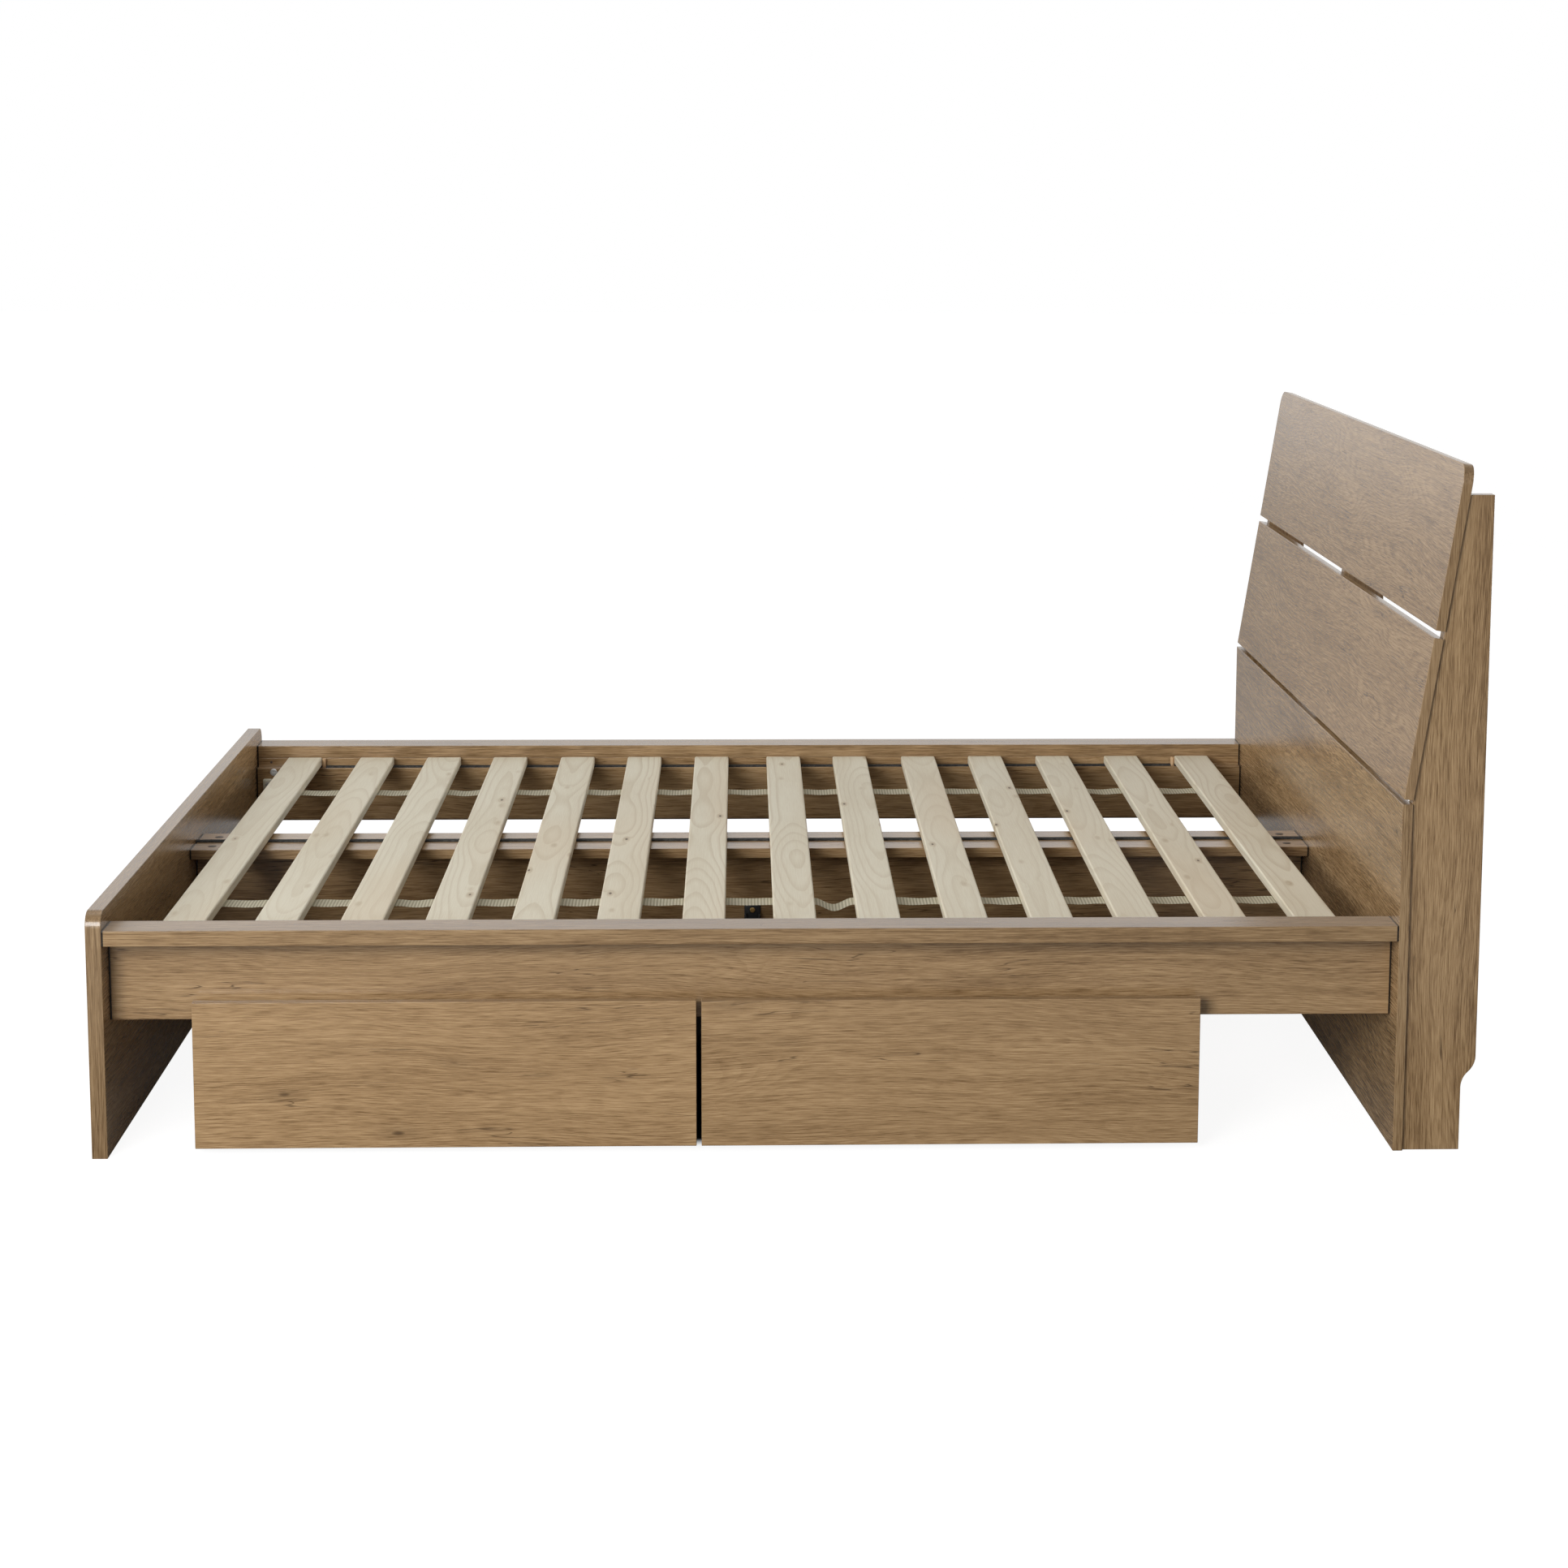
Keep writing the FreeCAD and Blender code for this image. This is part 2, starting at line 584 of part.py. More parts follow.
doc.recompute()
problems = []
for item in doc.Objects:
    if "Invalid" in item.State or "Error" in item.State:
        problems.append(f"{item.Label}: {item.State}")
for item in NODES:
    if item.Shape.isNull() or not item.Shape.isValid():
        problems.append(f"{item.Label}: no valid shape")
if problems:
    raise RuntimeError("; ".join(problems))
os.makedirs("parts", exist_ok=True)
for item in NODES:
    item.Shape.exportStep(f"parts/{item.Label}.step")
print(len(NODES), "pieces")
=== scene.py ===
"""Looks of a slatted platform bed with a leaning headboard and two rolling storage drawers."""
import logging
import math
import random
from dataclasses import dataclass, field
from enum import Enum
from typing import Callable, Optional, Protocol, Sequence, Union

import bmesh
import bpy
from mathutils import Matrix, Vector


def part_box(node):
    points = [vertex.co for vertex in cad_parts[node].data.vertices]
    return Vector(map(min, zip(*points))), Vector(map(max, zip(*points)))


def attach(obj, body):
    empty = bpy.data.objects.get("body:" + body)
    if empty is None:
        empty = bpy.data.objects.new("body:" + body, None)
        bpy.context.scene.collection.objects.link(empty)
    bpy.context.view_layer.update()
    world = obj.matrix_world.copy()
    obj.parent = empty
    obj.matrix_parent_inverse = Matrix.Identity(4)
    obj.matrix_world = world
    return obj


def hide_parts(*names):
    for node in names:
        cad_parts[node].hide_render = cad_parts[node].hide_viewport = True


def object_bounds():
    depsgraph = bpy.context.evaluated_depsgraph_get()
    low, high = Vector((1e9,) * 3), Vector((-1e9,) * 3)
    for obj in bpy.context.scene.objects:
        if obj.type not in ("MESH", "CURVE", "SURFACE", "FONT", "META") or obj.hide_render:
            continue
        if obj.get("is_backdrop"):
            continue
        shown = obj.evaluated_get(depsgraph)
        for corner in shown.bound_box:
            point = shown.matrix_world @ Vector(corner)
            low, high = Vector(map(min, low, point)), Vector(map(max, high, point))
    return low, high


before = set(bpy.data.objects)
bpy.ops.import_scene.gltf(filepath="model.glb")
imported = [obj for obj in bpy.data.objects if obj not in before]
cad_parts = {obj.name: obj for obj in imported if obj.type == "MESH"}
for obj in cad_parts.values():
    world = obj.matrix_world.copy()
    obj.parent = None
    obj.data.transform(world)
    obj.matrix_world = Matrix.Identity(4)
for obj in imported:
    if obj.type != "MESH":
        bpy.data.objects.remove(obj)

logging.basicConfig(level=logging.INFO, format="%(levelname)s %(message)s")
log = logging.getLogger("platform_bed")

Colour = tuple[float, float, float]
MM = 0.001
BLACK = (0.0, 0.0, 0.0)
UP = Vector((0, 0, 1))
ALONG_Y = Vector((0, 1, 0))


class Axis(Enum):
    """A direction of the bed's own frame."""

    X = 0
    Y = 1
    Z = 2


class Slot(Enum):
    """Slots of the record, one for each kind of built piece."""

    PEG = "beech_peg"
    FELT = "black_felt"
    WEBBING = "cream_webbing"
    CREAM_PLASTIC = "cream_plastic"
    BLACK_PLASTIC = "black_plastic"
    WHEEL = "wheel_plastic"
    COVER = "dark_cover"
    CAM = "zinc_cam"
    BRASS = "brass_screw"


# ---- shader graph

class Field:
    """An output socket that takes part in arithmetic."""

    def __init__(self, graph: "Graph", socket: bpy.types.NodeSocket) -> None:
        """Wrap one output socket of a graph."""
        self.graph = graph
        self.socket = socket

    def __add__(self, other: "Value") -> "Field":
        """Add a value."""
        return self.graph.maths("ADD", self, other)

    def __radd__(self, other: "Value") -> "Field":
        """Add to a value."""
        return self.graph.maths("ADD", other, self)

    def __sub__(self, other: "Value") -> "Field":
        """Take a value away."""
        return self.graph.maths("SUBTRACT", self, other)

    def __rsub__(self, other: "Value") -> "Field":
        """Take this away from a value."""
        return self.graph.maths("SUBTRACT", other, self)

    def __mul__(self, other: "Value") -> "Field":
        """Multiply by a value."""
        return self.graph.maths("MULTIPLY", self, other)

    def __truediv__(self, other: "Value") -> "Field":
        """Divide by a value."""
        return self.graph.maths("DIVIDE", self, other)

    def __abs__(self) -> "Field":
        """Absolute value."""
        return self.graph.maths("ABSOLUTE", self)


Value = Union[Field, float]


class Graph:
    """The node graph of one material or of the world."""

    def __init__(self, block: Union[bpy.types.Material, bpy.types.World]) -> None:
        """Start an empty graph.

        Args:
            block: The material or world that it belongs to.
        """
        block.use_nodes = True
        self.block = block
        self.tree = block.node_tree
        self.tree.nodes.clear()

    @classmethod
    def of_material(cls, name: str) -> "Graph":
        """Start the graph of a new material."""
        return cls(bpy.data.materials.new(name))

    def node(self, kind: str, settings: Optional[dict] = None, inputs: Optional[dict] = None,
             output: Union[int, str] = 0) -> Optional[Field]:
        """Add one node.

        Args:
            kind: Blender's type name of the node.
            settings: Properties set first; "stops" fills a colour ramp.
            inputs: Socket index, name or identifier to a value or Field.
            output: Index or name of the wanted output.

        Returns:
            The wanted output as a Field, or None from a node that has none.
        """
        made = self.tree.nodes.new(kind)
        for key, setting in (settings or {}).items():
            if key == "stops":
                self._fill_ramp(made.color_ramp, setting)
            else:
                setattr(made, key, setting)
        for key, value in (inputs or {}).items():
            socket = self._socket(made, key)
            if isinstance(value, Field):
                self.tree.links.new(value.socket, socket)
            else:
                socket.default_value = value
        return Field(self, made.outputs[output]) if len(made.outputs) else None

    @staticmethod
    def _socket(made: bpy.types.Node, key: Union[int, str]) -> bpy.types.NodeSocket:
        """Input socket of this index, name or identifier."""
        named = (s for s in made.inputs if key in (s.identifier, s.name))
        return made.inputs[key] if isinstance(key, int) else next(named)

    @staticmethod
    def _fill_ramp(ramp: bpy.types.ColorRamp, stops: Sequence[tuple[float, Colour]]) -> None:
        """Give a colour ramp its stops.

        Args:
            ramp: The ramp to fill.
            stops: Place and colour of each stop.
        """
        while len(ramp.elements) < len(stops):
            ramp.elements.new(1.0)
        for element, (place, colour) in zip(ramp.elements, stops):
            element.position = place
            element.color = (*colour, 1.0)

    def maths(self, operation: str, *values: Value) -> Field:
        """Add a Math node on one to three values."""
        return self.node("ShaderNodeMath", {"operation": operation}, dict(enumerate(values)))

    def highest(self, first: Value, *others: Value) -> Value:
        """Greatest of some values."""
        for other in others:
            first = self.maths("MAXIMUM", first, other)
        return first

    def step(self, value: Value, low: float, high: float) -> Field:
        """Rise smoothly from 0 at low to 1 at high; high may be the smaller."""
        return self.node("ShaderNodeMapRange", {"interpolation_type": "SMOOTHSTEP"},
                         {"Value": value, "From Min": low, "From Max": high})

    def vector(self, x: Value, y: Value, z: Value) -> Field:
        """Join three values into a vector."""
        return self.node("ShaderNodeCombineXYZ", inputs={0: x, 1: y, 2: z})

    def place(self) -> tuple[Field, Field, Field]:
        """Coordinates of the surface in the bed's own frame, in metres."""
        return self.split("Object")

    def facing(self) -> tuple[Field, Field, Field]:
        """Components of the surface normal in the bed's own frame."""
        return self.split("Normal")

    def split(self, output: str) -> tuple[Field, Field, Field]:
        """Components of one texture coordinate."""
        parts = self.node("ShaderNodeSeparateXYZ",
                          inputs={0: self.node("ShaderNodeTexCoord", output=output)})
        return tuple(Field(self, socket) for socket in parts.socket.node.outputs)

    def noise(self, x: Value, y: Value, z: Value, detail: float = 2.0,
              roughness: float = 0.5) -> Field:
        """Noise from 0 to 1 at a point given in noise cells."""
        return self.node("ShaderNodeTexNoise", {"noise_dimensions": "3D"},
                         {"Vector": self.vector(x, y, z), "Scale": 1.0, "Detail": detail,
                          "Roughness": roughness})

    def speckle(self, cells: Union[float, tuple[float, float, float]], detail: float = 2.0,
                roughness: float = 0.5) -> Field:
        """Noise over the surface.

        Args:
            cells: Noise cells in a metre, for every axis or for each one.
            detail: Number of octaves.
            roughness: Strength of the finer octaves.

        Returns:
            Noise from 0 to 1.
        """
        counts = cells if isinstance(cells, tuple) else (cells,) * 3
        x, y, z = (place * count for place, count in zip(self.place(), counts))
        return self.noise(x, y, z, detail, roughness)

    def cells(self, x: Value, y: Value, z: Value) -> Field:
        """Distance to the nearest of scattered points, in cells."""
        return self.node("ShaderNodeTexVoronoi", {"feature": "F1"},
                         {"Vector": self.vector(x, y, z), "Scale": 1.0}, "Distance")

    def ramp(self, factor: Value, stops: Sequence[tuple[float, Colour]]) -> Field:
        """Colour from a ramp."""
        return self.node("ShaderNodeValToRGB", {"stops": stops}, {"Fac": factor})

    def blend(self, factor: Value, first: Union[Field, Colour],
              second: Union[Field, Colour], mode: str = "MIX") -> Field:
        """Mix two colours.

        Args:
            factor: Share of the second colour.
            first: First colour.
            second: Second colour.
            mode: Blend mode.

        Returns:
            The mixed colour.
        """
        first, second = (c if isinstance(c, Field) else (*c, 1.0) for c in (first, second))
        return self.node("ShaderNodeMix", {"data_type": "RGBA", "blend_type": mode},
                         {"Factor_Float": factor, "A_Color": first, "B_Color": second},
                         2)

    def bump(self, height: Value, distance: float, strength: float = 1.0) -> Field:
        """Normal from a height pattern of 0 to 1 that stands distance metres tall."""
        return self.node("ShaderNodeBump", inputs={"Height": height, "Distance": distance,
                                                   "Strength": strength})

    def surface(self, **sockets: Union[Field, float, Colour]) -> bpy.types.Material:
        """End the graph in a Principled shader.

        Args:
            sockets: Principled inputs, with _ for a space.

        Returns:
            The finished material.
        """
        inputs = {}
        for key, value in sockets.items():
            if isinstance(value, tuple):
                value = (*value, 1.0)
            inputs[key.replace("_", " ")] = value
        shader = self.node("ShaderNodeBsdfPrincipled", inputs=inputs)
        self.node("ShaderNodeOutputMaterial", inputs={"Surface": shader})
        return self.block


# ---- finishes

class Finish(Protocol):
    """Anything that can make a material for a piece."""

    def material(self, name: str) -> bpy.types.Material:
        """Make a material of this name."""


@dataclass(frozen=True)
class OakLaminate:
    """Printed oak on a board, with matching tape on its edges.

    A grain size is the length along the grain and the width across it, in metres. A share
    is how strongly a layer shows in the tone.
    """

    along: Axis
    edge_along: Axis
    seed: float
    # shade lightens or darkens the whole board: painted light, set per board to the light that
    # falls on it.
    shade: float = 1.0
    figured: float = 0.6
    contrast: float = 1.0
    gloss: float = 0.5
    span: Optional[tuple[float, float]] = None
    dark: Colour = (0.145, 0.08, 0.032)
    middle: Colour = (0.318, 0.199, 0.096)
    light: Colour = (0.47, 0.314, 0.164)
    vein: Colour = (0.06, 0.032, 0.014)
    # Painted shadow: a near-black band along the ends of a butted board, standing for the
    # shadow in the gap at the joint.
    joint: Colour = (0.012, 0.008, 0.005)
    joint_shadow_width: float = 2.6 * MM
    joint_shadow_blur: float = 1.0 * MM
    # tape_shade darkens the taped edges: partly the tape's own tone, partly painted shade on
    # edges that get less light.
    tape_shade: float = 0.86
    arris_shade: float = 0.1
    patch: tuple[float, float] = (0.5, 0.075)
    band: tuple[float, float] = (0.3, 0.011)
    streak: tuple[float, float] = (0.2, 0.0021)
    pore: tuple[float, float] = (0.04, 0.0012)
    figure: tuple[float, float] = (0.6, 0.13)
    figure_line: float = 0.034
    figure_pitch: float = 22.0
    wander: float = 0.06
    patch_share: float = 0.34
    band_share: float = 0.25
    streak_share: float = 0.42
    pore_share: float = 0.9
    figure_share: float = 0.085
    lift: float = 0.015
    crack_share: float = 0.72
    knot_share: float = 0.8
    halo_share: float = 0.2
    relief: float = 0.22 * MM

    def material(self, name: str) -> bpy.types.Material:
        """Make the laminate for one board.

        Args:
            name: Its name.

        Returns:
            The material.
        """
        g = Graph.of_material(name)
        places, normals = g.place(), g.facing()
        other = next(a for a in Axis if a not in (self.along, self.edge_along))
        end = g.step(abs(normals[self.along.value]), 0.55, 0.75)
        taped = g.step(abs(normals[other.value]), 0.8, 0.6)
        face = 1 - taped
        run, rise = places[self.along.value], places[self.edge_along.value]
        length = run + (rise - run) * end + self.seed * 3.17
        across = rise + (run - rise) * end + self.seed * 1.31
        depth = places[other.value] + self.seed * 0.77

        def grain(size: tuple[float, float], detail: float, roughness: float = 0.5) -> Field:
            """Noise from 0 to 1 in cells of this length and width."""
            return g.noise(length / size[0], across / size[1], depth / size[1], detail,
                           roughness)

        swell = grain(self.figure, 2.0, 0.4)
        across = across + (swell - 0.5) * self.wander * face
        patch, band = grain(self.patch, 2.0), grain(self.band, 3.0, 0.55)
        streak, pore = grain(self.streak, 4.0, 0.65), grain(self.pore, 3.0, 0.65)
        figure = g.maths("FRACT", (swell + band * 0.02) / self.figure_line
                         + across * self.figure_pitch)
        figure = g.step(figure, 0.25, 0.9) * g.step(figure, 1.0, 0.92)
        figure = figure * g.step(patch, 0.4, 0.66) * face * self.figured
        tone = ((streak - 0.5) * self.streak_share + (band - 0.5) * self.band_share
                + (patch - 0.5) * self.patch_share + (pore - 0.5) * self.pore_share
                - figure * self.figure_share + self.lift) * self.contrast + 0.5
        colour = g.ramp(tone, [(0.3, self.dark), (0.5, self.middle), (0.7, self.light)])
        flaw = self.flaws(g, length, across, depth) * face
        colour = g.blend(flaw, colour, self.vein)
        arris = g.step(g.highest(*(abs(normal) for normal in normals)), 0.95, 0.8)
        # Painted light and shade: the board's shade, its taped edges darker (tape tone and
        # painted shade), and a darker glue line at the arrises.
        shade = (self.shade - taped * (self.shade * (1 - self.tape_shade))
                 - arris * self.arris_shade)
        colour = g.blend(1.0, colour, g.vector(shade, shade, shade), "MULTIPLY")
        # Painted shadow at the butt joints: the ends of the span turn near black over the given
        # width.
        if self.span:
            start, stop = self.span
            reach = abs(run - (start + stop) / 2)
            gap = (stop - start) / 2 - self.joint_shadow_width
            colour = g.blend(g.step(reach, gap - self.joint_shadow_blur, gap), colour, self.joint)
        height = streak * 0.5 + pore * 0.5 - flaw * 0.6
        return g.surface(Base_Color=colour, Roughness=0.14 + pore * 0.12 + band * 0.05,
                         Normal=g.bump(height, self.relief, 0.5),
                         Specular_IOR_Level=self.gloss)

    def flaws(self, g: Graph, length: Field, across: Field, depth: Field) -> Value:
        """Mask of the cracks and knots.

        Args:
            g: The graph to add to.
            length: Place along the grain.
            across: Place across the grain.
            depth: Place through the board.

        Returns:
            The mask, 0 on clear wood.
        """
        ragged = g.noise(length * 2.2, across * 38.0, depth * 38.0, 3.0, 0.6)
        places = g.noise(length * 5.0, across * 16.0, depth * 16.0, 1.0)
        crack = (1 - g.step(abs(ragged - 0.5), 0.001, 0.01)) * g.step(places, 0.57, 0.65)
        eye = g.cells(length * 3.4, across * 11.0, depth * 11.0)
        knot, halo = 1 - g.step(eye, 0.015, 0.055), 1 - g.step(eye, 0.04, 0.2)
        return g.highest(crack * self.crack_share, knot * self.knot_share,
                         halo * self.halo_share)


@dataclass(frozen=True)
class PineSlat:
    """Planed pine whose growth rings circle a pith under or beside the slat."""

    centre: float
    seed: float
    pale: Colour = (0.8, 0.74, 0.59)
    early: Colour = (0.71, 0.63, 0.475)
    late: Colour = (0.45, 0.325, 0.18)
    blush: Colour = (0.72, 0.575, 0.395)
    knot: Colour = (0.085, 0.048, 0.026)
    ring: float = 0.0058
    sawn: Colour = (0.42, 0.33, 0.22)
    knot_spacing: tuple[float, float] = (0.16, 0.05)
    knot_radius: float = 0.062
    middle_height: float = 0.338
    relief: float = 0.22 * MM

    def material(self, name: str) -> bpy.types.Material:
        """Make the pine for one slat.

        Args:
            name: Its name.

        Returns:
            The material.
        """
        g = Graph.of_material(name)
        x, y, z = g.place()
        run = y + self.seed * 2.73
        offset = math.sin(self.seed * 7.1) * 0.022
        wide = x - self.centre + offset
        spot = g.cells(wide / self.knot_spacing[1] + self.seed * 5.3,
                       run / self.knot_spacing[0], 0.0)
        pull = 1 - g.step(spot, 0.0, 0.34)
        bend = (g.noise(run * 0.8, self.seed, 0.0, 1.0) - 0.5) * 0.03
        lean = wide + bend
        below = 0.006 + g.noise(run * 0.9, self.seed + 4.0, 0.0, 2.0) * 0.11
        radius = g.maths("SQRT", lean * lean + below * below) + (z - self.middle_height) * 0.5
        radius = radius + pull * pull * 0.004
        ring = g.maths("FRACT", radius / self.ring
                       + g.noise(run * 7.0, wide * 40.0, z * 40.0, 2.0) * 0.3)
        latewood = g.step(ring, 0.5, 0.94) * g.step(ring, 1.0, 0.95)
        fibre = g.noise(run * 14.0, wide * 620.0, z * 620.0, 4.0, 0.68)
        patch = g.noise(run * 2.2, wide * 12.0, z * 12.0, 2.0)
        colour = g.ramp(patch * 0.62 + fibre * 0.75 - 0.16,
                        [(0.32, self.early), (0.62, self.pale)])
        figured = 0.5 + 0.5 * math.sin(self.seed * 4.3)
        colour = g.blend(latewood * (0.08 + patch * (0.18 + 0.24 * figured)), colour, self.late)
        warm = g.noise(run * 0.9, self.seed * 3.0, wide * 5.0, 1.0)
        colour = g.blend(g.step(warm, 0.5, 0.72) * 0.35, colour, self.blush)
        halo = 1 - g.step(spot, self.knot_radius, self.knot_radius * 3.0)
        heart = 1 - g.step(spot, self.knot_radius * 0.55, self.knot_radius)
        colour = g.blend(halo * 0.48, colour, self.late)
        colour = g.blend(heart * 0.88, colour, self.knot)
        colour = g.blend(g.step(abs(g.facing()[1]), 0.6, 0.9) * 0.5, colour, self.sawn)
        height = fibre * 0.7 + latewood * 0.3
        return g.surface(Base_Color=colour, Roughness=0.5 + fibre * 0.15,
                         Normal=g.bump(height, self.relief, 0.6), Specular_IOR_Level=0.35)


@dataclass(frozen=True)
class CoatedBoard:
    """Thin hardboard with a pale lacquered face."""

    face: Colour = (0.62, 0.59, 0.53)
    fleck: Colour = (0.42, 0.37, 0.3)
    relief: float = 0.1 * MM

    def material(self, name: str) -> bpy.types.Material:
        """Make the coated board.

        Args:
            name: Its name.

        Returns:
            The material.
        """
        g = Graph.of_material(name)
        speck, cloud = g.speckle(900.0), g.speckle(6.0)
        colour = g.blend(g.step(speck, 0.55, 0.75) * 0.4 + cloud * 0.2, self.face, self.fleck)
        return g.surface(Base_Color=colour, Roughness=0.42 + speck * 0.2,
                         Normal=g.bump(speck, self.relief))


@dataclass(frozen=True)
class Felt:
    """Needled black felt."""

    fibre: Colour = (0.03, 0.029, 0.027)
    fuzz: Colour = (0.095, 0.092, 0.088)
    relief: float = 0.6 * MM

    def material(self, name: str) -> bpy.types.Material:
        """Make the felt.

        Args:
            name: Its name.

        Returns:
            The material.
        """
        g = Graph.of_material(name)
        hair, mat = g.speckle(1500.0, 3.0, 0.7), g.speckle((160.0, 300.0, 300.0))
        colour = g.blend(g.step(hair * 0.6 + mat * 0.4, 0.42, 0.66), self.fibre, self.fuzz)
        return g.surface(Base_Color=colour, Roughness=0.95,
                         Normal=g.bump(hair, self.relief), Specular_IOR_Level=0.15)


@dataclass(frozen=True)
class Webbing:
    """Cream woven strap with a rib at every weft thread."""

    rib: float
    yarn: float = 1.2 * MM
    thread: Colour = (0.64, 0.59, 0.45)
    gap: Colour = (0.26, 0.23, 0.15)
    relief: float = 0.4 * MM

    def material(self, name: str) -> bpy.types.Material:
        """Make the strap's weave.

        Args:
            name: Its name.

        Returns:
            The material.
        """
        g = Graph.of_material(name)
        x, y, _ = g.place()
        rib = g.maths("SINE", x * (2 * math.pi / self.rib)) * 0.5 + 0.5
        warp = g.maths("SINE", y * (2 * math.pi / self.yarn)) * 0.5 + 0.5
        fluff, soil = g.speckle(700.0, 3.0, 0.65), g.speckle((9.0, 30.0, 9.0))
        # Darker towards the valleys between ribs and yarns: painted shade in the weave's
        # hollows. The same dark colour marks the soil spots below, which are real dirt.
        colour = g.blend(rib * 0.7 + warp * 0.2 + fluff * 0.25, self.gap, self.thread)
        colour = g.blend(g.step(soil, 0.45, 0.75) * 0.18, colour, self.gap)
        return g.surface(Base_Color=colour, Roughness=0.82,
                         Normal=g.bump(rib * 0.6 + warp * 0.25 + fluff * 0.15, self.relief),
                         Specular_IOR_Level=0.25)


@dataclass(frozen=True)
class Plastic:
    """Moulded plastic with a fine spark-eroded texture."""

    colour: Colour
    scuff: Colour
    roughness: float = 0.42
    relief: float = 0.08 * MM

    def material(self, name: str) -> bpy.types.Material:
        """Make the plastic.

        Args:
            name: Its name.

        Returns:
            The material.
        """
        g = Graph.of_material(name)
        spark, rub = g.speckle(1800.0), g.step(g.speckle(60.0, 3.0, 0.7), 0.55, 0.75)
        return g.surface(Base_Color=g.blend(rub * 0.35, self.colour, self.scuff),
                         Roughness=self.roughness + spark * 0.12 - rub * 0.08,
                         Normal=g.bump(spark, self.relief))


@dataclass(frozen=True)
class PlatedMetal:
    """Plated metal with fine turning marks and dull spots."""

    colour: Colour
    dull: Colour
    roughness: float = 0.3
    relief: float = 0.04 * MM

    def material(self, name: str) -> bpy.types.Material:
        """Make the plated metal.

        Args:
            name: Its name.

        Returns:
            The material.
        """
        g = Graph.of_material(name)
        mark = g.speckle((2600.0, 2600.0, 400.0))
        spot = g.step(g.speckle(300.0), 0.48, 0.7)
        return g.surface(Base_Color=g.blend(spot * 0.5, self.colour, self.dull), Metallic=1.0,
                         Roughness=self.roughness + mark * 0.15 + spot * 0.12,
                         Normal=g.bump(mark, self.relief))


@dataclass(frozen=True)
class DowelWood:
    """Bare turned hardwood with its grain along the dowel."""

    pale: Colour = (0.64, 0.44, 0.25)
    dark: Colour = (0.42, 0.25, 0.12)
    relief: float = 0.2 * MM

    def material(self, name: str) -> bpy.types.Material:
        """Make the dowel wood.

        Args:
            name: Its name.

        Returns:
            The material.
        """
        g = Graph.of_material(name)
        fibre = g.speckle((1400.0, 1400.0, 60.0), 3.0, 0.6)
        return g.surface(Base_Color=g.blend(g.step(fibre, 0.35, 0.65), self.dark, self.pale),
                         Roughness=0.6 + fibre * 0.1, Normal=g.bump(fibre, self.relief))


STAPLE_WIRE = PlatedMetal((0.55, 0.56, 0.57), (0.3, 0.29, 0.28))
CAM_ZINC = PlatedMetal((0.66, 0.67, 0.66), (0.36, 0.36, 0.35))
SCREW_STEEL = PlatedMetal((0.62, 0.63, 0.62), (0.33, 0.33, 0.32))
SCREW_BRASS = PlatedMetal((0.66, 0.47, 0.2), (0.38, 0.25, 0.1))
COVER_BROWN = Plastic((0.055, 0.036, 0.02), (0.13, 0.1, 0.07))
BLOCK_CREAM = Plastic((0.62, 0.59, 0.48), (0.44, 0.41, 0.33))
BRACKET_BLACK = Plastic((0.016, 0.016, 0.017), (0.05, 0.05, 0.05), 0.35)
FORK_BLACK = Plastic((0.02, 0.02, 0.021), (0.06, 0.06, 0.06))
WHEEL_BLACK = Plastic((0.03, 0.03, 0.031), (0.1, 0.1, 0.1), 0.5)


# ---- mesh tools

def aimed(centre: Vector, axis: Vector) -> Matrix:
    """Frame that stands at centre with its Z along axis."""
    turn = axis.normalized().to_track_quat("Z", "Y").to_matrix().to_4x4()
    return Matrix.Translation(centre) @ turn


def bridge(mesh: bmesh.types.BMesh, lower: Sequence[bmesh.types.BMVert],
           upper: Sequence[bmesh.types.BMVert]) -> None:
    """Close the wall between two rings.

    Args:
        mesh: Mesh to add to.
        lower: Points of one ring.
        upper: As many points of the other ring.
    """
    for number in range(len(lower)):
        after = (number + 1) % len(lower)
        mesh.faces.new((lower[number], lower[after], upper[after], upper[number]))


def rounded_block(mesh: bmesh.types.BMesh, low: Vector, high: Vector, radius: float,
                  segments: int = 3) -> None:
    """Add a block with rounded edges.

    Args:
        mesh: Mesh to add to.
        low: Lowest corner.
        high: Highest corner.
        radius: Radius of the edges.
        segments: Faces across an edge.
    """
    made = bmesh.ops.create_cube(mesh, size=1.0)["verts"]
    bmesh.ops.scale(mesh, vec=high - low, verts=made)
    bmesh.ops.translate(mesh, vec=(low + high) / 2, verts=made)
    edges = {edge for vertex in made for edge in vertex.link_edges}
    bmesh.ops.bevel(mesh, geom=list(edges), offset=radius, segments=segments, affect="EDGES",
                    profile=0.5, clamp_overlap=True)


def turned(mesh: bmesh.types.BMesh, profile: Sequence[tuple[float, float]], centre: Vector,
           axis: Vector, sides: int = 32,
           shape: Optional[Callable[[float, float], float]] = None) -> None:
    """Add a solid turned about an axis.

    Args:
        mesh: Mesh to add to.
        profile: Radius and height pairs; the ends close onto the axis.
        centre: Point of height 0.
        axis: Direction of the height.
        sides: Number of sides.
        shape: Optional change of the radius from radius and angle.
    """
    stand, rings = aimed(centre, axis), []
    for radius, height in profile:
        ring = []
        for number in range(sides):
            angle = 2 * math.pi * number / sides
            far = shape(radius, angle) if shape else radius
            ring.append(mesh.verts.new(stand @ Vector(
                (far * math.cos(angle), far * math.sin(angle), height))))
        rings.append(ring)
    for lower, upper in zip(rings, rings[1:]):
        bridge(mesh, lower, upper)
    for ring, height in ((rings[0], profile[0][1]), (rings[-1], profile[-1][1])):
        tip = mesh.verts.new(stand @ Vector((0, 0, height)))
        for number in range(sides):
            mesh.faces.new((ring[number], ring[(number + 1) % sides], tip))


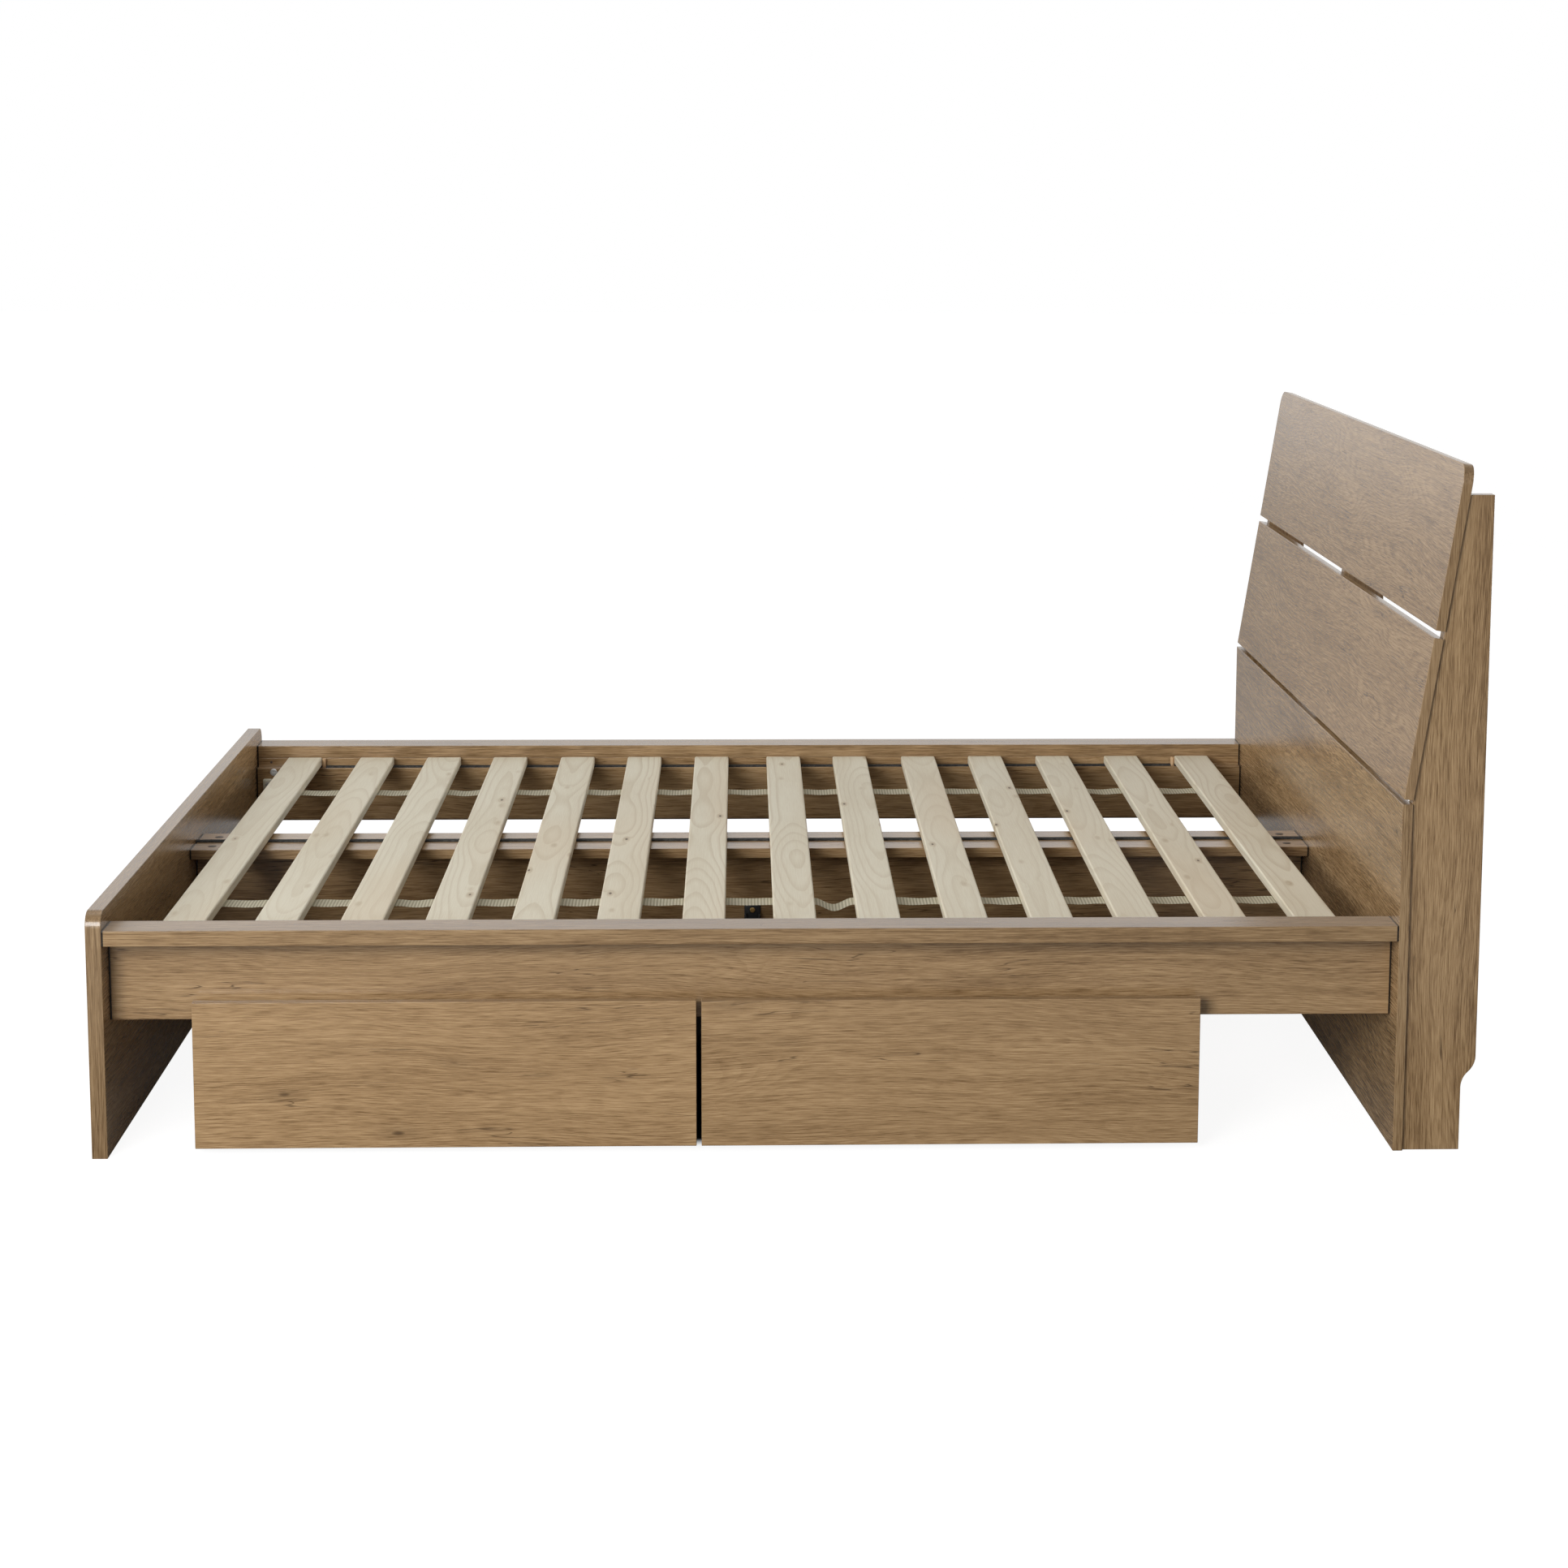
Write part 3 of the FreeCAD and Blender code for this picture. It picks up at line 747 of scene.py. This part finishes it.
def cross_recess_head(mesh: bmesh.types.BMesh, centre: Vector, axis: Vector, radius: float,
                      dome: float, slot_width: float, slot_length: float,
                      slot_depth: float) -> None:
    """Add a screw or cam head with a cross recess.

    Args:
        mesh: Mesh to add to.
        centre: Middle of the seat of the head.
        axis: Outward direction.
        radius: Radius of the head.
        dome: Height of the head at its middle.
        slot_width: Width of one bar of the cross.
        slot_length: Whole length of one bar.
        slot_depth: Depth of the recess.
    """
    stand, points, cells = aimed(centre, axis), {}, 36

    def height_at(u: float, v: float) -> float:
        """Height of the head over its seat.

        Args:
            u: Place across the head.
            v: Place across the head, square to u.

        Returns:
            The height there.
        """
        far = math.hypot(u, v)
        rim = min(1.0, (radius - far) / (radius * 0.22))
        top = dome * (0.35 + 0.65 * math.sqrt(max(rim, 0.0)))
        inside = (min(abs(u), abs(v)) < slot_width / 2
                  and max(abs(u), abs(v)) < slot_length / 2)
        return top - slot_depth if inside else top

    for i in range(cells + 1):
        for j in range(cells + 1):
            s, t = 2 * i / cells - 1, 2 * j / cells - 1
            u = radius * s * math.sqrt(1 - t * t / 2)
            v = radius * t * math.sqrt(1 - s * s / 2)
            points[i, j] = mesh.verts.new(stand @ Vector((u, v, height_at(u, v))))
    for i in range(cells):
        for j in range(cells):
            mesh.faces.new((points[i, j], points[i + 1, j], points[i + 1, j + 1],
                            points[i, j + 1]))
    border = ([points[i, 0] for i in range(cells)] + [points[cells, j] for j in range(cells)]
              + [points[i, cells] for i in range(cells, 0, -1)]
              + [points[0, j] for j in range(cells, 0, -1)])
    into = stand.to_3x3() @ UP
    foot = [mesh.verts.new(vertex.co - into * (vertex.co - centre).dot(into))
            for vertex in border]
    bridge(mesh, foot, border)
    mesh.faces.new(foot)


def ends(node: str) -> tuple[float, float]:
    """Where a CAD node starts and stops along the bed."""
    low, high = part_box(node)
    return low.x, high.x


# ---- sub-assemblies

@dataclass
class Assembly:
    """A group of pieces that is built and dressed together."""

    body: str = "bed_frame"
    sharp_angle: float = math.radians(38)
    seeds: random.Random = field(default_factory=lambda: random.Random(7))

    def build(self) -> None:
        """Build and dress every piece of the group."""
        raise NotImplementedError

    def dress(self, node: str, finish: Finish) -> None:
        """Give a CAD node its material.

        Args:
            node: Name of the CAD node.
            finish: The finish to make for it.
        """
        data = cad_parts[node].data
        data.materials.clear()
        data.materials.append(finish.material(f"{node}_finish"))
        log.info("dressed %s with %s", node, type(finish).__name__)

    def add(self, name: str, mesh: bmesh.types.BMesh, finish: Finish, slot: Slot,
            *replaced: str, body: Optional[str] = None) -> None:
        """Add a piece that stands for CAD nodes.

        Args:
            name: Name of the piece.
            mesh: Its mesh in the bed's frame; freed here.
            finish: Its finish.
            slot: The record's slot; not used.
            replaced: CAD nodes it stands for.
            body: The body it rides on, if it isn't the group's own.
        """
        bmesh.ops.recalc_face_normals(mesh, faces=mesh.faces)
        data = bpy.data.meshes.new(name)
        mesh.to_mesh(data)
        mesh.free()
        data.materials.append(finish.material(f"{name}_finish"))
        data.shade_smooth()
        data.set_sharp_from_angle(angle=self.sharp_angle)
        made = bpy.data.objects.new(name, data)
        bpy.context.scene.collection.objects.link(made)
        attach(made, body or self.body)
        if replaced:
            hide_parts(*replaced)
        log.info("built %s with %d faces", name, len(data.polygons))


@dataclass
class Headboard(Assembly):
    """Lower panel, two leaning boards and three uprights."""

    boards: tuple[str, ...] = ("headboard_lower_panel", "headboard_middle_board",
                               "headboard_top_board")
    uprights: tuple[str, ...] = ("headboard_upright_near", "headboard_upright_middle",
                                 "headboard_upright_far")
    # painted_shades and painted_upright_shade lighten or darken each board and upright: painted
    # light, lit and shaded copies of one laminate.
    painted_shades: tuple[float, ...] = (0.94, 1.0, 0.96)
    contrasts: tuple[float, ...] = (1.35, 1.0, 1.0)
    glosses: tuple[float, ...] = (0.5, 0.56, 0.44)
    painted_upright_shade: float = 0.97
    upright_contrast: float = 1.2
    upright_patch: tuple[float, float] = (0.8, 0.06)

    def build(self) -> None:
        """Dress every board of the headboard."""
        looks = zip(self.boards, self.painted_shades, self.contrasts, self.glosses)
        for number, (node, shade, contrast, gloss) in enumerate(looks):
            self.dress(node, OakLaminate(Axis.Y, Axis.Z, 2.0 + number * 1.7, shade,
                                         figured=1.0, contrast=contrast, gloss=gloss))
        for number, node in enumerate(self.uprights):
            self.dress(node, OakLaminate(Axis.Z, Axis.X, 11.0 + number * 2.3,
                                         self.painted_upright_shade, contrast=self.upright_contrast,
                                         patch=self.upright_patch))


@dataclass
class Footboard(Assembly):
    """The single board at the foot end."""

    def build(self) -> None:
        """Dress the footboard."""
        # The footboard's taped edges are darkened to 0.7: partly tape tone, partly painted
        # shade on its near edge.
        self.dress("footboard", OakLaminate(Axis.Y, Axis.Z, 21.4, tape_shade=0.7))


@dataclass
class SideRails(Assembly):
    """Caps, rail panels and the bearers behind them."""

    # painted_top_shade darkens the cap tops: painted shade, the tops darker than the fronts for
    # how light falls on them.
    painted_top_shade: float = 0.76
    top_gloss: float = 0.4

    def build(self) -> None:
        """Dress the boards of both long sides."""
        for number, side in enumerate(("near", "far")):
            for order, (part, rise) in enumerate((("rail_cap", Axis.Y), ("rail_panel", Axis.Z),
                                                  ("rail_bearer", Axis.Z))):
                seed = 31.0 + number * 5.9 + order * 1.3
                # Painted shade on the cap tops; tape_shade keeps the cap fronts at 0.84 of the
                # plain laminate, partly tape tone and partly painted shade.
                shade, gloss = ((self.painted_top_shade, self.top_gloss) if rise is Axis.Y
                                else (1.0, 0.5))
                self.dress(f"{part}_{side}", OakLaminate(
                    Axis.X, rise, seed, shade, gloss=gloss, tape_shade=0.84 / shade,
                    span=ends(f"{part}_{side}")))


@dataclass
class CentreBeam(Assembly):
    """Upright panel with a flat board on each side."""

    def build(self) -> None:
        """Dress the beam."""
        for node, rise, seed in (("centre_panel", Axis.Z, 47.2),
                                 ("centre_board_near", Axis.Y, 49.9),
                                 ("centre_board_far", Axis.Y, 52.1)):
            self.dress(node, OakLaminate(Axis.X, rise, seed, span=ends(node)))


@dataclass
class SlatDeck(Assembly):
    """Slats, the straps stapled under them, dowels and felt."""

    rib: float = 5.5 * MM
    strap_gap: float = 0.25 * MM
    shallow_sag: float = 0.6 * MM
    deep_sag: float = 2.6 * MM
    slack_sag: float = 11.0 * MM
    slack_gap: int = 8
    staple_width: float = 10 * MM
    staple_wire: float = 0.7 * MM
    felt_rough: float = 0.18 * MM
    peg_flutes: int = 14
    peg_flute: float = 0.025
    rib_steps: int = 4
    lanes: int = 10
    drift: float = 2.0 * MM
    ridge: float = 0.16
    staple_places: tuple[float, float] = (0.36, 0.64)
    felt_step: float = 12 * MM
    felt_profile: tuple[tuple[float, float], ...] = (
        (0, 0), (1, 0), (1, 0.7), (0.93, 1), (0.5, 1), (0.07, 1), (0, 0.7))

    def slats(self) -> list[str]:
        """Names of the slats from foot to head."""
        return sorted(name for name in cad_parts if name.startswith("slat_")
                      and name[-2:].isdigit())

    def build(self) -> None:
        """Build and dress the deck."""
        for number, node in enumerate(self.slats()):
            low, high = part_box(node)
            self.dress(node, PineSlat((low.x + high.x) / 2, 1.0 + number * 1.618))
        for side in ("near", "far"):
            self.strap(side)
            self.staples(side)
        for node in ("bearer_felt_near", "bearer_felt_far", "centre_felt"):
            self.felt(node)
        self.pegs()

    def sag(self, side: str, gap: int) -> float:
        """Depth of a strap's dip in one gap between slats, counted from 1 at the foot."""
        loose = side == "near" and gap == self.slack_gap
        return self.slack_sag if loose else self.seeds.uniform(self.shallow_sag, self.deep_sag)

    def strap(self, side: str) -> None:
        """Build one ribbed strap that dips between the slats.

        Args:
            side: Side of the strap.
        """
        low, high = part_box(f"webbing_{side}")
        spans = [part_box(node) for node in self.slats()]
        gaps = [(a[1].x, b[0].x, self.sag(side, number))
                for number, (a, b) in enumerate(zip(spans, spans[1:]), start=1)]
        drift = [self.seeds.uniform(-1, 1) * self.drift for _ in gaps]
        thick = high.z - low.z
        lanes = self.lanes
        count = int((high.x - low.x) / self.rib) * self.rib_steps
        mesh = bmesh.new()
        rows = []
        for step in range(count + 1):
            x = low.x + (high.x - low.x) * step / count
            dip, shift, twist = 0.0, 0.0, 0.0
            for (start, end, depth), wander in zip(gaps, drift):
                if start < x < end:
                    share = (x - start) / (end - start)
                    swell = math.sin(math.pi * share) ** 2
                    dip, shift = depth * swell, wander * swell
                    twist = wander * 0.6 * math.sin(2 * math.pi * share)
            ridge = self.ridge * thick * math.cos(2 * math.pi * (x - low.x) / self.rib)
            row = []
            for lane in range(lanes + 1):
                across = lane / lanes
                y = low.y + (high.y - low.y) * across + shift
                edge = 1 - (2 * across - 1) ** 8 * 0.35
                centre = high.z - self.strap_gap - thick / 2 - dip + twist * (across - 0.5)
                half = thick / 2 * edge * 0.84
                row.append((mesh.verts.new((x, y, centre + half + min(ridge, 0.0))),
                            mesh.verts.new((x, y, centre - half - ridge))))
            rows.append(row)
        for first, second in zip(rows, rows[1:]):
            for lane in range(lanes):
                for layer in (0, 1):
                    mesh.faces.new((first[lane][layer], second[lane][layer],
                                    second[lane + 1][layer], first[lane + 1][layer]))
            for lane in (0, lanes):
                mesh.faces.new((first[lane][0], second[lane][0], second[lane][1],
                                first[lane][1]))
        for row in (rows[0], rows[-1]):
            for lane in range(lanes):
                mesh.faces.new((row[lane][0], row[lane + 1][0], row[lane + 1][1],
                                row[lane][1]))
        self.add(f"strap_{side}", mesh, Webbing(self.rib), Slot.WEBBING, f"webbing_{side}")

    def staples(self, side: str) -> None:
        """Build the wire staples that hold a strap to each slat.

        Args:
            side: Side of the strap.
        """
        low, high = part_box(f"webbing_{side}")
        middle = (low.y + high.y) / 2
        mesh = bmesh.new()
        for node in self.slats():
            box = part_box(node)
            for share in self.staple_places:
                x = box[0].x + (box[1].x - box[0].x) * share
                corner = Vector((x - self.staple_wire / 2, middle - self.staple_width / 2,
                                 low.z - self.staple_wire - self.strap_gap))
                size = Vector((self.staple_wire, self.staple_width, self.staple_wire * 1.4))
                rounded_block(mesh, corner, corner + size, self.staple_wire * 0.3, 2)
        self.add(f"staples_{side}", mesh, STAPLE_WIRE, Slot.CAM)

    def felt(self, node: str) -> None:
        """Build felt strips with soft, slightly uneven edges.

        Args:
            node: CAD node of the strips.
        """
        mesh = bmesh.new()
        for low, high in island_boxes(node):
            pieces = max(2, int((high.x - low.x) / self.felt_step))
            rings = []
            for step in range(pieces + 1):
                x = low.x + (high.x - low.x) * step / pieces
                ring = []
                for u, v in self.felt_profile:
                    wave = self.seeds.uniform(-1, 0) * self.felt_rough * (v > 0)
                    inward = wave if u > 0.5 else -wave
                    ring.append(mesh.verts.new((x, low.y + (high.y - low.y) * u + inward,
                                                low.z + (high.z - low.z) * v + wave)))
                rings.append(ring)
            for first, second in zip(rings, rings[1:]):
                bridge(mesh, first, second)
            for ring in (rings[0], rings[-1]):
                mesh.faces.new(ring)
        self.add(f"{node}_strip", mesh, Felt(), Slot.FELT, node)

    def fluted(self, far: float, angle: float) -> float:
        """Radius of a fluted dowel at an angle."""
        return far * (1 + self.peg_flute * (math.cos(angle * self.peg_flutes) - 1))

    def pegs(self) -> None:
        """Build the fluted dowels beside the end slats."""
        mesh = bmesh.new()
        for low, high in island_boxes("slat_pegs"):
            radius, tall = (high.x - low.x) / 2, high.z - low.z
            base = Vector(((low.x + high.x) / 2, (low.y + high.y) / 2, low.z))
            ease = radius * 0.25
            turned(mesh, [(radius, 0.0), (radius, tall - ease),
                          (radius - ease * 0.4, tall - ease / 3), (radius - ease, tall)],
                   base, UP, 4 * self.peg_flutes, self.fluted)
        self.add("slat_dowels", mesh, DowelWood(), Slot.PEG, "slat_pegs")


def island_boxes(node: str) -> list[tuple[Vector, Vector]]:
    """Boxes of the separate solids of a CAD node.

    Args:
        node: Name of the CAD node.

    Returns:
        Lowest and highest corner of each solid, ordered by place.
    """
    mesh = bmesh.new()
    mesh.from_mesh(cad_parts[node].data)
    bmesh.ops.remove_doubles(mesh, verts=mesh.verts, dist=1e-6)
    unseen, found = set(mesh.verts), []
    while unseen:
        group, edge = set(), [unseen.pop()]
        while edge:
            vertex = edge.pop()
            group.add(vertex)
            for link in vertex.link_edges:
                other = link.other_vert(vertex)
                if other in unseen:
                    unseen.discard(other)
                    edge.append(other)
        corners = [vertex.co for vertex in group]
        found.append((Vector(map(min, *corners)), Vector(map(max, *corners))))
    mesh.free()
    return sorted(found, key=lambda box: tuple(round(value, 5) for value in box[0]))


@dataclass
class Fittings(Assembly):
    """Cam locks, covers, corner connectors and the centre bracket."""

    cross_width: float = 1.6 * MM
    cross_length: float = 7.0 * MM
    cross_depth: float = 0.9 * MM
    block_round: float = 1.8 * MM
    bracket_round: float = 1.2 * MM
    wall: float = 4 * MM
    collar_step: float = 1.2 * MM

    def build(self) -> None:
        """Build every small fitting."""
        self.discs("cam_locks", "cam_heads", CAM_ZINC, Slot.CAM, True)
        self.discs("cam_covers", "cover_caps", COVER_BROWN, Slot.COVER, False)
        self.connectors()
        self.bracket()
        self.bracket_screw()

    def discs(self, node: str, name: str, finish: Finish, slot: Slot,
              recessed: bool) -> None:
        """Build the discs of a node as turned heads.

        Args:
            node: CAD node of the discs.
            name: Name of the piece.
            finish: Its finish.
            slot: The record's slot.
            recessed: Heads with a cross recess instead of plain caps.
        """
        mesh = bmesh.new()
        for low, high in island_boxes(node):
            size, middle = high - low, (low + high) / 2
            if size.y < size.z:
                inward = -1.0 if middle.y > 0 else 1.0
                axis = inward * ALONG_Y
                seat = Vector((middle.x, high.y if inward < 0 else low.y, middle.z))
            else:
                axis, seat = UP, Vector((middle.x, middle.y, low.z))
            radius = size.x / 2
            if recessed:
                cross_recess_head(mesh, seat, axis, radius, 0.6 * MM, self.cross_width,
                                  self.cross_length, 0.45 * MM)
            else:
                turned(mesh, [(radius, 0.0), (radius, 0.3 * MM), (radius * 0.9, 0.55 * MM),
                              (radius * 0.4, 0.6 * MM)], seat, axis, 40)
        self.add(name, mesh, finish, slot, node)

    def connectors(self) -> None:
        """Build the corner connector blocks with their screws."""
        blocks, screws = bmesh.new(), bmesh.new()
        for low, high in island_boxes("corner_connectors"):
            inward = -1.0 if low.y > 0 else 1.0
            face = low.y if inward < 0 else high.y
            middle, step, axis = (low + high) / 2, self.collar_step, inward * ALONG_Y
            inner = Vector((low.x, low.y + (step if inward < 0 else 0), low.z))
            outer = Vector((high.x, high.y - (0 if inward < 0 else step), high.z))
            rounded_block(blocks, inner, outer, self.block_round)
            seat = Vector((middle.x, face - inward * step, middle.z))
            collar = min(high.x - low.x, high.z - low.z) * 0.42
            turned(blocks, [(collar, -step), (collar, step * 0.6), (collar * 0.93, step),
                            (collar * 0.72, step), (collar * 0.66, step * 0.3)],
                   seat, axis, 36)
            cross_recess_head(screws, seat + axis * (step * 0.3), axis, collar * 0.6,
                              step * 0.55, self.cross_width * 0.8, self.cross_length * 0.6,
                              step * 0.35)
        self.add("connector_blocks", blocks, BLOCK_CREAM, Slot.CREAM_PLASTIC,
                 "corner_connectors")
        self.add("connector_screws", screws, SCREW_STEEL, Slot.CAM)

    def bracket(self) -> None:
        """Build the ribbed angle bracket of the centre panel."""
        low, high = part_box("centre_bracket")
        mesh = bmesh.new()
        rounded_block(mesh, Vector((low.x, high.y - self.wall, low.z)), high,
                      self.bracket_round)
        rounded_block(mesh, low, Vector((high.x, high.y, low.z + self.wall)),
                      self.bracket_round)
        middle = (low + high) / 2
        for start in (low.x, high.x - self.wall):
            rounded_block(mesh, Vector((start, middle.y, low.z)),
                          Vector((start + self.wall, high.y, middle.z)), self.bracket_round)
        self.add("angle_bracket", mesh, BRACKET_BLACK, Slot.BLACK_PLASTIC, "centre_bracket")

    def bracket_screw(self) -> None:
        """Build the brass screw of the bracket."""
        low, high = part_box("bracket_screw")
        mesh = bmesh.new()
        middle = (low + high) / 2
        cross_recess_head(mesh, Vector((middle.x, high.y, middle.z)), -ALONG_Y,
                          (high.x - low.x) / 2, high.y - low.y, self.cross_width,
                          self.cross_length * 0.8, self.cross_depth)
        self.add("bracket_screw_head", mesh, SCREW_BRASS, Slot.BRASS, "bracket_screw")


@dataclass
class Drawer(Assembly):
    """One rolling drawer with its wheels."""

    name: str = "drawer_foot"
    seed: float = 61.0
    # shade lightens the front: painted light, set per drawer to the light on its front.
    shade: float = 1.0

    def build(self) -> None:
        """Dress the box and build its wheels."""
        self.body = self.name
        self.dress(f"{self.name}_front", OakLaminate(Axis.X, Axis.Z, self.seed,
                                                     shade=self.shade, contrast=0.85))
        for number, part in enumerate(("side_foot", "side_head")):
            self.dress(f"{self.name}_{part}",
                       OakLaminate(Axis.Y, Axis.Z, self.seed + 2.1 + number * 1.9))
        self.dress(f"{self.name}_back", OakLaminate(Axis.X, Axis.Z, self.seed + 6.3))
        self.dress(f"{self.name}_bottom", CoatedBoard())
        self.dress(f"{self.name}_wheel_forks", FORK_BLACK)
        for row in ("front", "rear"):
            self.wheels(f"{self.name}_wheels_{row}")

    def wheels(self, node: str) -> None:
        """Build a pair of wheels with grooved treads and dished hubs.

        Args:
            node: CAD node of the pair, which is also its body.
        """
        mesh = bmesh.new()
        for low, high in island_boxes(node):
            radius = (high.z - low.z) / 2
            half = (high.x - low.x) / 2
            tyre = half * 0.86
            profile = [(radius * 0.16, -half), (radius * 0.34, -half), (radius * 0.36, -tyre),
                       (radius * 0.62, -tyre * 0.78), (radius * 0.8, -tyre * 0.92),
                       (radius * 0.93, -tyre), (radius, -tyre * 0.72),
                       (radius, -tyre * 0.12), (radius * 0.965, 0.0)]
            profile += [(far, -along) for far, along in reversed(profile[:-1])]
            turned(mesh, profile, (low + high) / 2, Vector((1, 0, 0)), 64)
        self.add(f"{node}_tyres", mesh, WHEEL_BLACK, Slot.WHEEL, node, body=node)


# ---- studio

@dataclass(frozen=True)
class Softbox:
    """A square soft light that hangs at a place and looks at a target."""

    name: str
    place: tuple[float, float, float]
    target: tuple[float, float, float]
    size: float
    power: float

    def hang(self) -> None:
        """Hang and aim the light."""
        data = bpy.data.lights.new(self.name, "AREA")
        data.size = self.size
        data.energy = self.power
        lamp = bpy.data.objects.new(self.name, data)
        lamp.location = self.place
        aim = Vector(self.target) - Vector(self.place)
        lamp.rotation_euler = aim.to_track_quat("-Z", "Y").to_euler()
        bpy.context.scene.collection.objects.link(lamp)


@dataclass
class Studio:
    """Pale floor, soft lights and the camera."""

    floor_size: float = 60.0
    floor_dark: Colour = (0.2, 0.2, 0.2)
    floor_pale: Colour = (0.22, 0.22, 0.22)
    floor_glow: float = 0.9
    # Edge and start of the painted shadow under the drawers.
    floor_painted_shadow_edge: float = 0.015
    floor_painted_shadow_start: float = 0.06
    floor_clear: float = 1.3
    floor_shine: float = 0.3
    sky: Colour = (1.0, 1.0, 1.0)
    sky_strength: float = 1.0
    sky_fill: float = 0.3
    zenith: Colour = (0.5, 0.5, 0.5)
    softboxes: tuple[Softbox, ...] = (
        Softbox("overhead_softbox", (-0.5, 0.2, 3.4), (0.0, 0.0, 0.0), 2.6, 24.0),
        Softbox("foot_softbox", (-4.6, -1.6, 2.1), (0.9, 0.0, 0.7), 2.2, 60.0),
        Softbox("front_softbox", (-2.4, -5.4, 2.1), (0.0, -0.8, 0.2), 2.4, 250.0),
        Softbox("wall_side_softbox", (4.4, 1.6, 1.0), (1.1, 0.1, 0.6), 1.8, 110.0))
    camera_place: tuple[float, float, float] = (-0.0743, -5.7103, 1.5492)
    camera_yaw: float = 0.0339
    camera_pitch: float = 0.1494
    camera_roll: float = 0.0041
    camera_lens: float = 72.47
    camera_shift: tuple[float, float] = (-0.0399, -0.086)

    def build(self) -> None:
        """Set the whole studio up."""
        self.world()
        self.floor()
        for softbox in self.softboxes:
            softbox.hang()
        self.camera()
        bpy.context.scene.view_settings.view_transform = "Standard"

    def world(self) -> None:
        """Surround the bed with white walls and a dimmer ceiling."""
        world = bpy.data.worlds.new("studio_white")
        g = Graph(world)
        height = g.split("Generated")[2]
        colour = g.ramp(height, [(0.3, self.sky), (0.85, self.zenith)])
        fill = g.node("ShaderNodeLightPath", output="Is Diffuse Ray")
        colour = g.blend(fill * (1 - self.sky_fill), colour, BLACK)
        shine = g.node("ShaderNodeBackground", inputs={"Color": colour,
                                                       "Strength": self.sky_strength})
        g.node("ShaderNodeOutputWorld", inputs={"Surface": shine})
        bpy.context.scene.world = world

    def floor(self) -> None:
        """Lay a pale seamless floor."""
        mesh = bmesh.new()
        bmesh.ops.create_grid(mesh, x_segments=8, y_segments=8, size=self.floor_size / 2)
        data = bpy.data.meshes.new("floor")
        mesh.to_mesh(data)
        mesh.free()
        floor = bpy.data.objects.new("floor", data)
        bpy.context.scene.collection.objects.link(floor)
        g = Graph.of_material("pale_floor")
        x, y, _ = g.place()
        cloud = g.noise(x * 1.5, y * 1.5, 0.0, 2.0)
        colour = g.ramp(cloud, [(0.3, self.floor_dark), (0.7, self.floor_pale)])
        # Painted shadow under the closed drawers: the floor between the drawer boxes, back to
        # the centre panel, goes black and stops glowing.
        low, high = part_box("drawer_foot_side_head")[0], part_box("drawer_head_side_foot")[1]
        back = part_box("centre_panel")[1].y
        edge = self.floor_painted_shadow_edge
        below = (g.step(x, low.x - edge, low.x) * g.step(x, high.x + edge, high.x)
                 * g.step(y, low.y + edge, low.y + self.floor_painted_shadow_start)
                 * g.step(y, back + edge, back))
        away = self.floor_clear
        beyond = g.highest(*(g.step(abs(place), away, away * 1.5) for place in (x, y)))
        seen = g.highest(g.node("ShaderNodeLightPath", output="Is Camera Ray"),
                         g.node("ShaderNodeLightPath", output="Is Glossy Ray") * beyond
                         * self.floor_shine)
        glow = g.blend((1 - below) * seen, BLACK, self.sky)
        # Painted shadow: the floor's colour turns black under the drawers.
        colour = g.blend(below, colour, BLACK)
        data.materials.append(g.surface(Base_Color=colour, Roughness=0.9, Emission_Color=glow,
                                        Emission_Strength=self.floor_glow))
        floor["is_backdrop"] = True

    def camera(self) -> None:
        """Set the camera at its place with its heading, tilt and roll."""
        data = bpy.data.cameras.new("studio_camera")
        data.lens = self.camera_lens
        data.shift_x, data.shift_y = self.camera_shift
        camera = bpy.data.objects.new("studio_camera", data)
        yaw, pitch, roll = self.camera_yaw, self.camera_pitch, self.camera_roll
        ahead = Vector((math.sin(yaw) * math.cos(pitch), math.cos(yaw) * math.cos(pitch),
                        -math.sin(pitch)))
        level = Vector((math.cos(yaw), -math.sin(yaw), 0.0))
        upright = level.cross(ahead)
        right = math.cos(roll) * level + math.sin(roll) * upright
        above = math.cos(roll) * upright - math.sin(roll) * level
        turn = Matrix((right, above, -ahead)).transposed().to_4x4()
        camera.matrix_world = Matrix.Translation(self.camera_place) @ turn
        bpy.context.scene.collection.objects.link(camera)
        bpy.context.scene.camera = camera


def corners() -> list[list[float]]:
    """Lowest and highest corner of what is shown."""
    return [list(corner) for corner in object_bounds()]


def main() -> None:
    """Build the bed and its studio in order."""
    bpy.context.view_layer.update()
    # The drawers' shade values lighten their fronts: painted light, the foot drawer's the most.
    assemblies = (Headboard(), Footboard(), SideRails(), CentreBeam(), SlatDeck(), Fittings(),
                  Drawer(name="drawer_foot", seed=61.0, shade=1.08),
                  Drawer(name="drawer_head", seed=77.0, shade=1.03))
    for assembly in assemblies:
        assembly.build()
        log.info("finished %s", type(assembly).__name__)
    Studio().build()


if __name__ == "__main__":
    main()
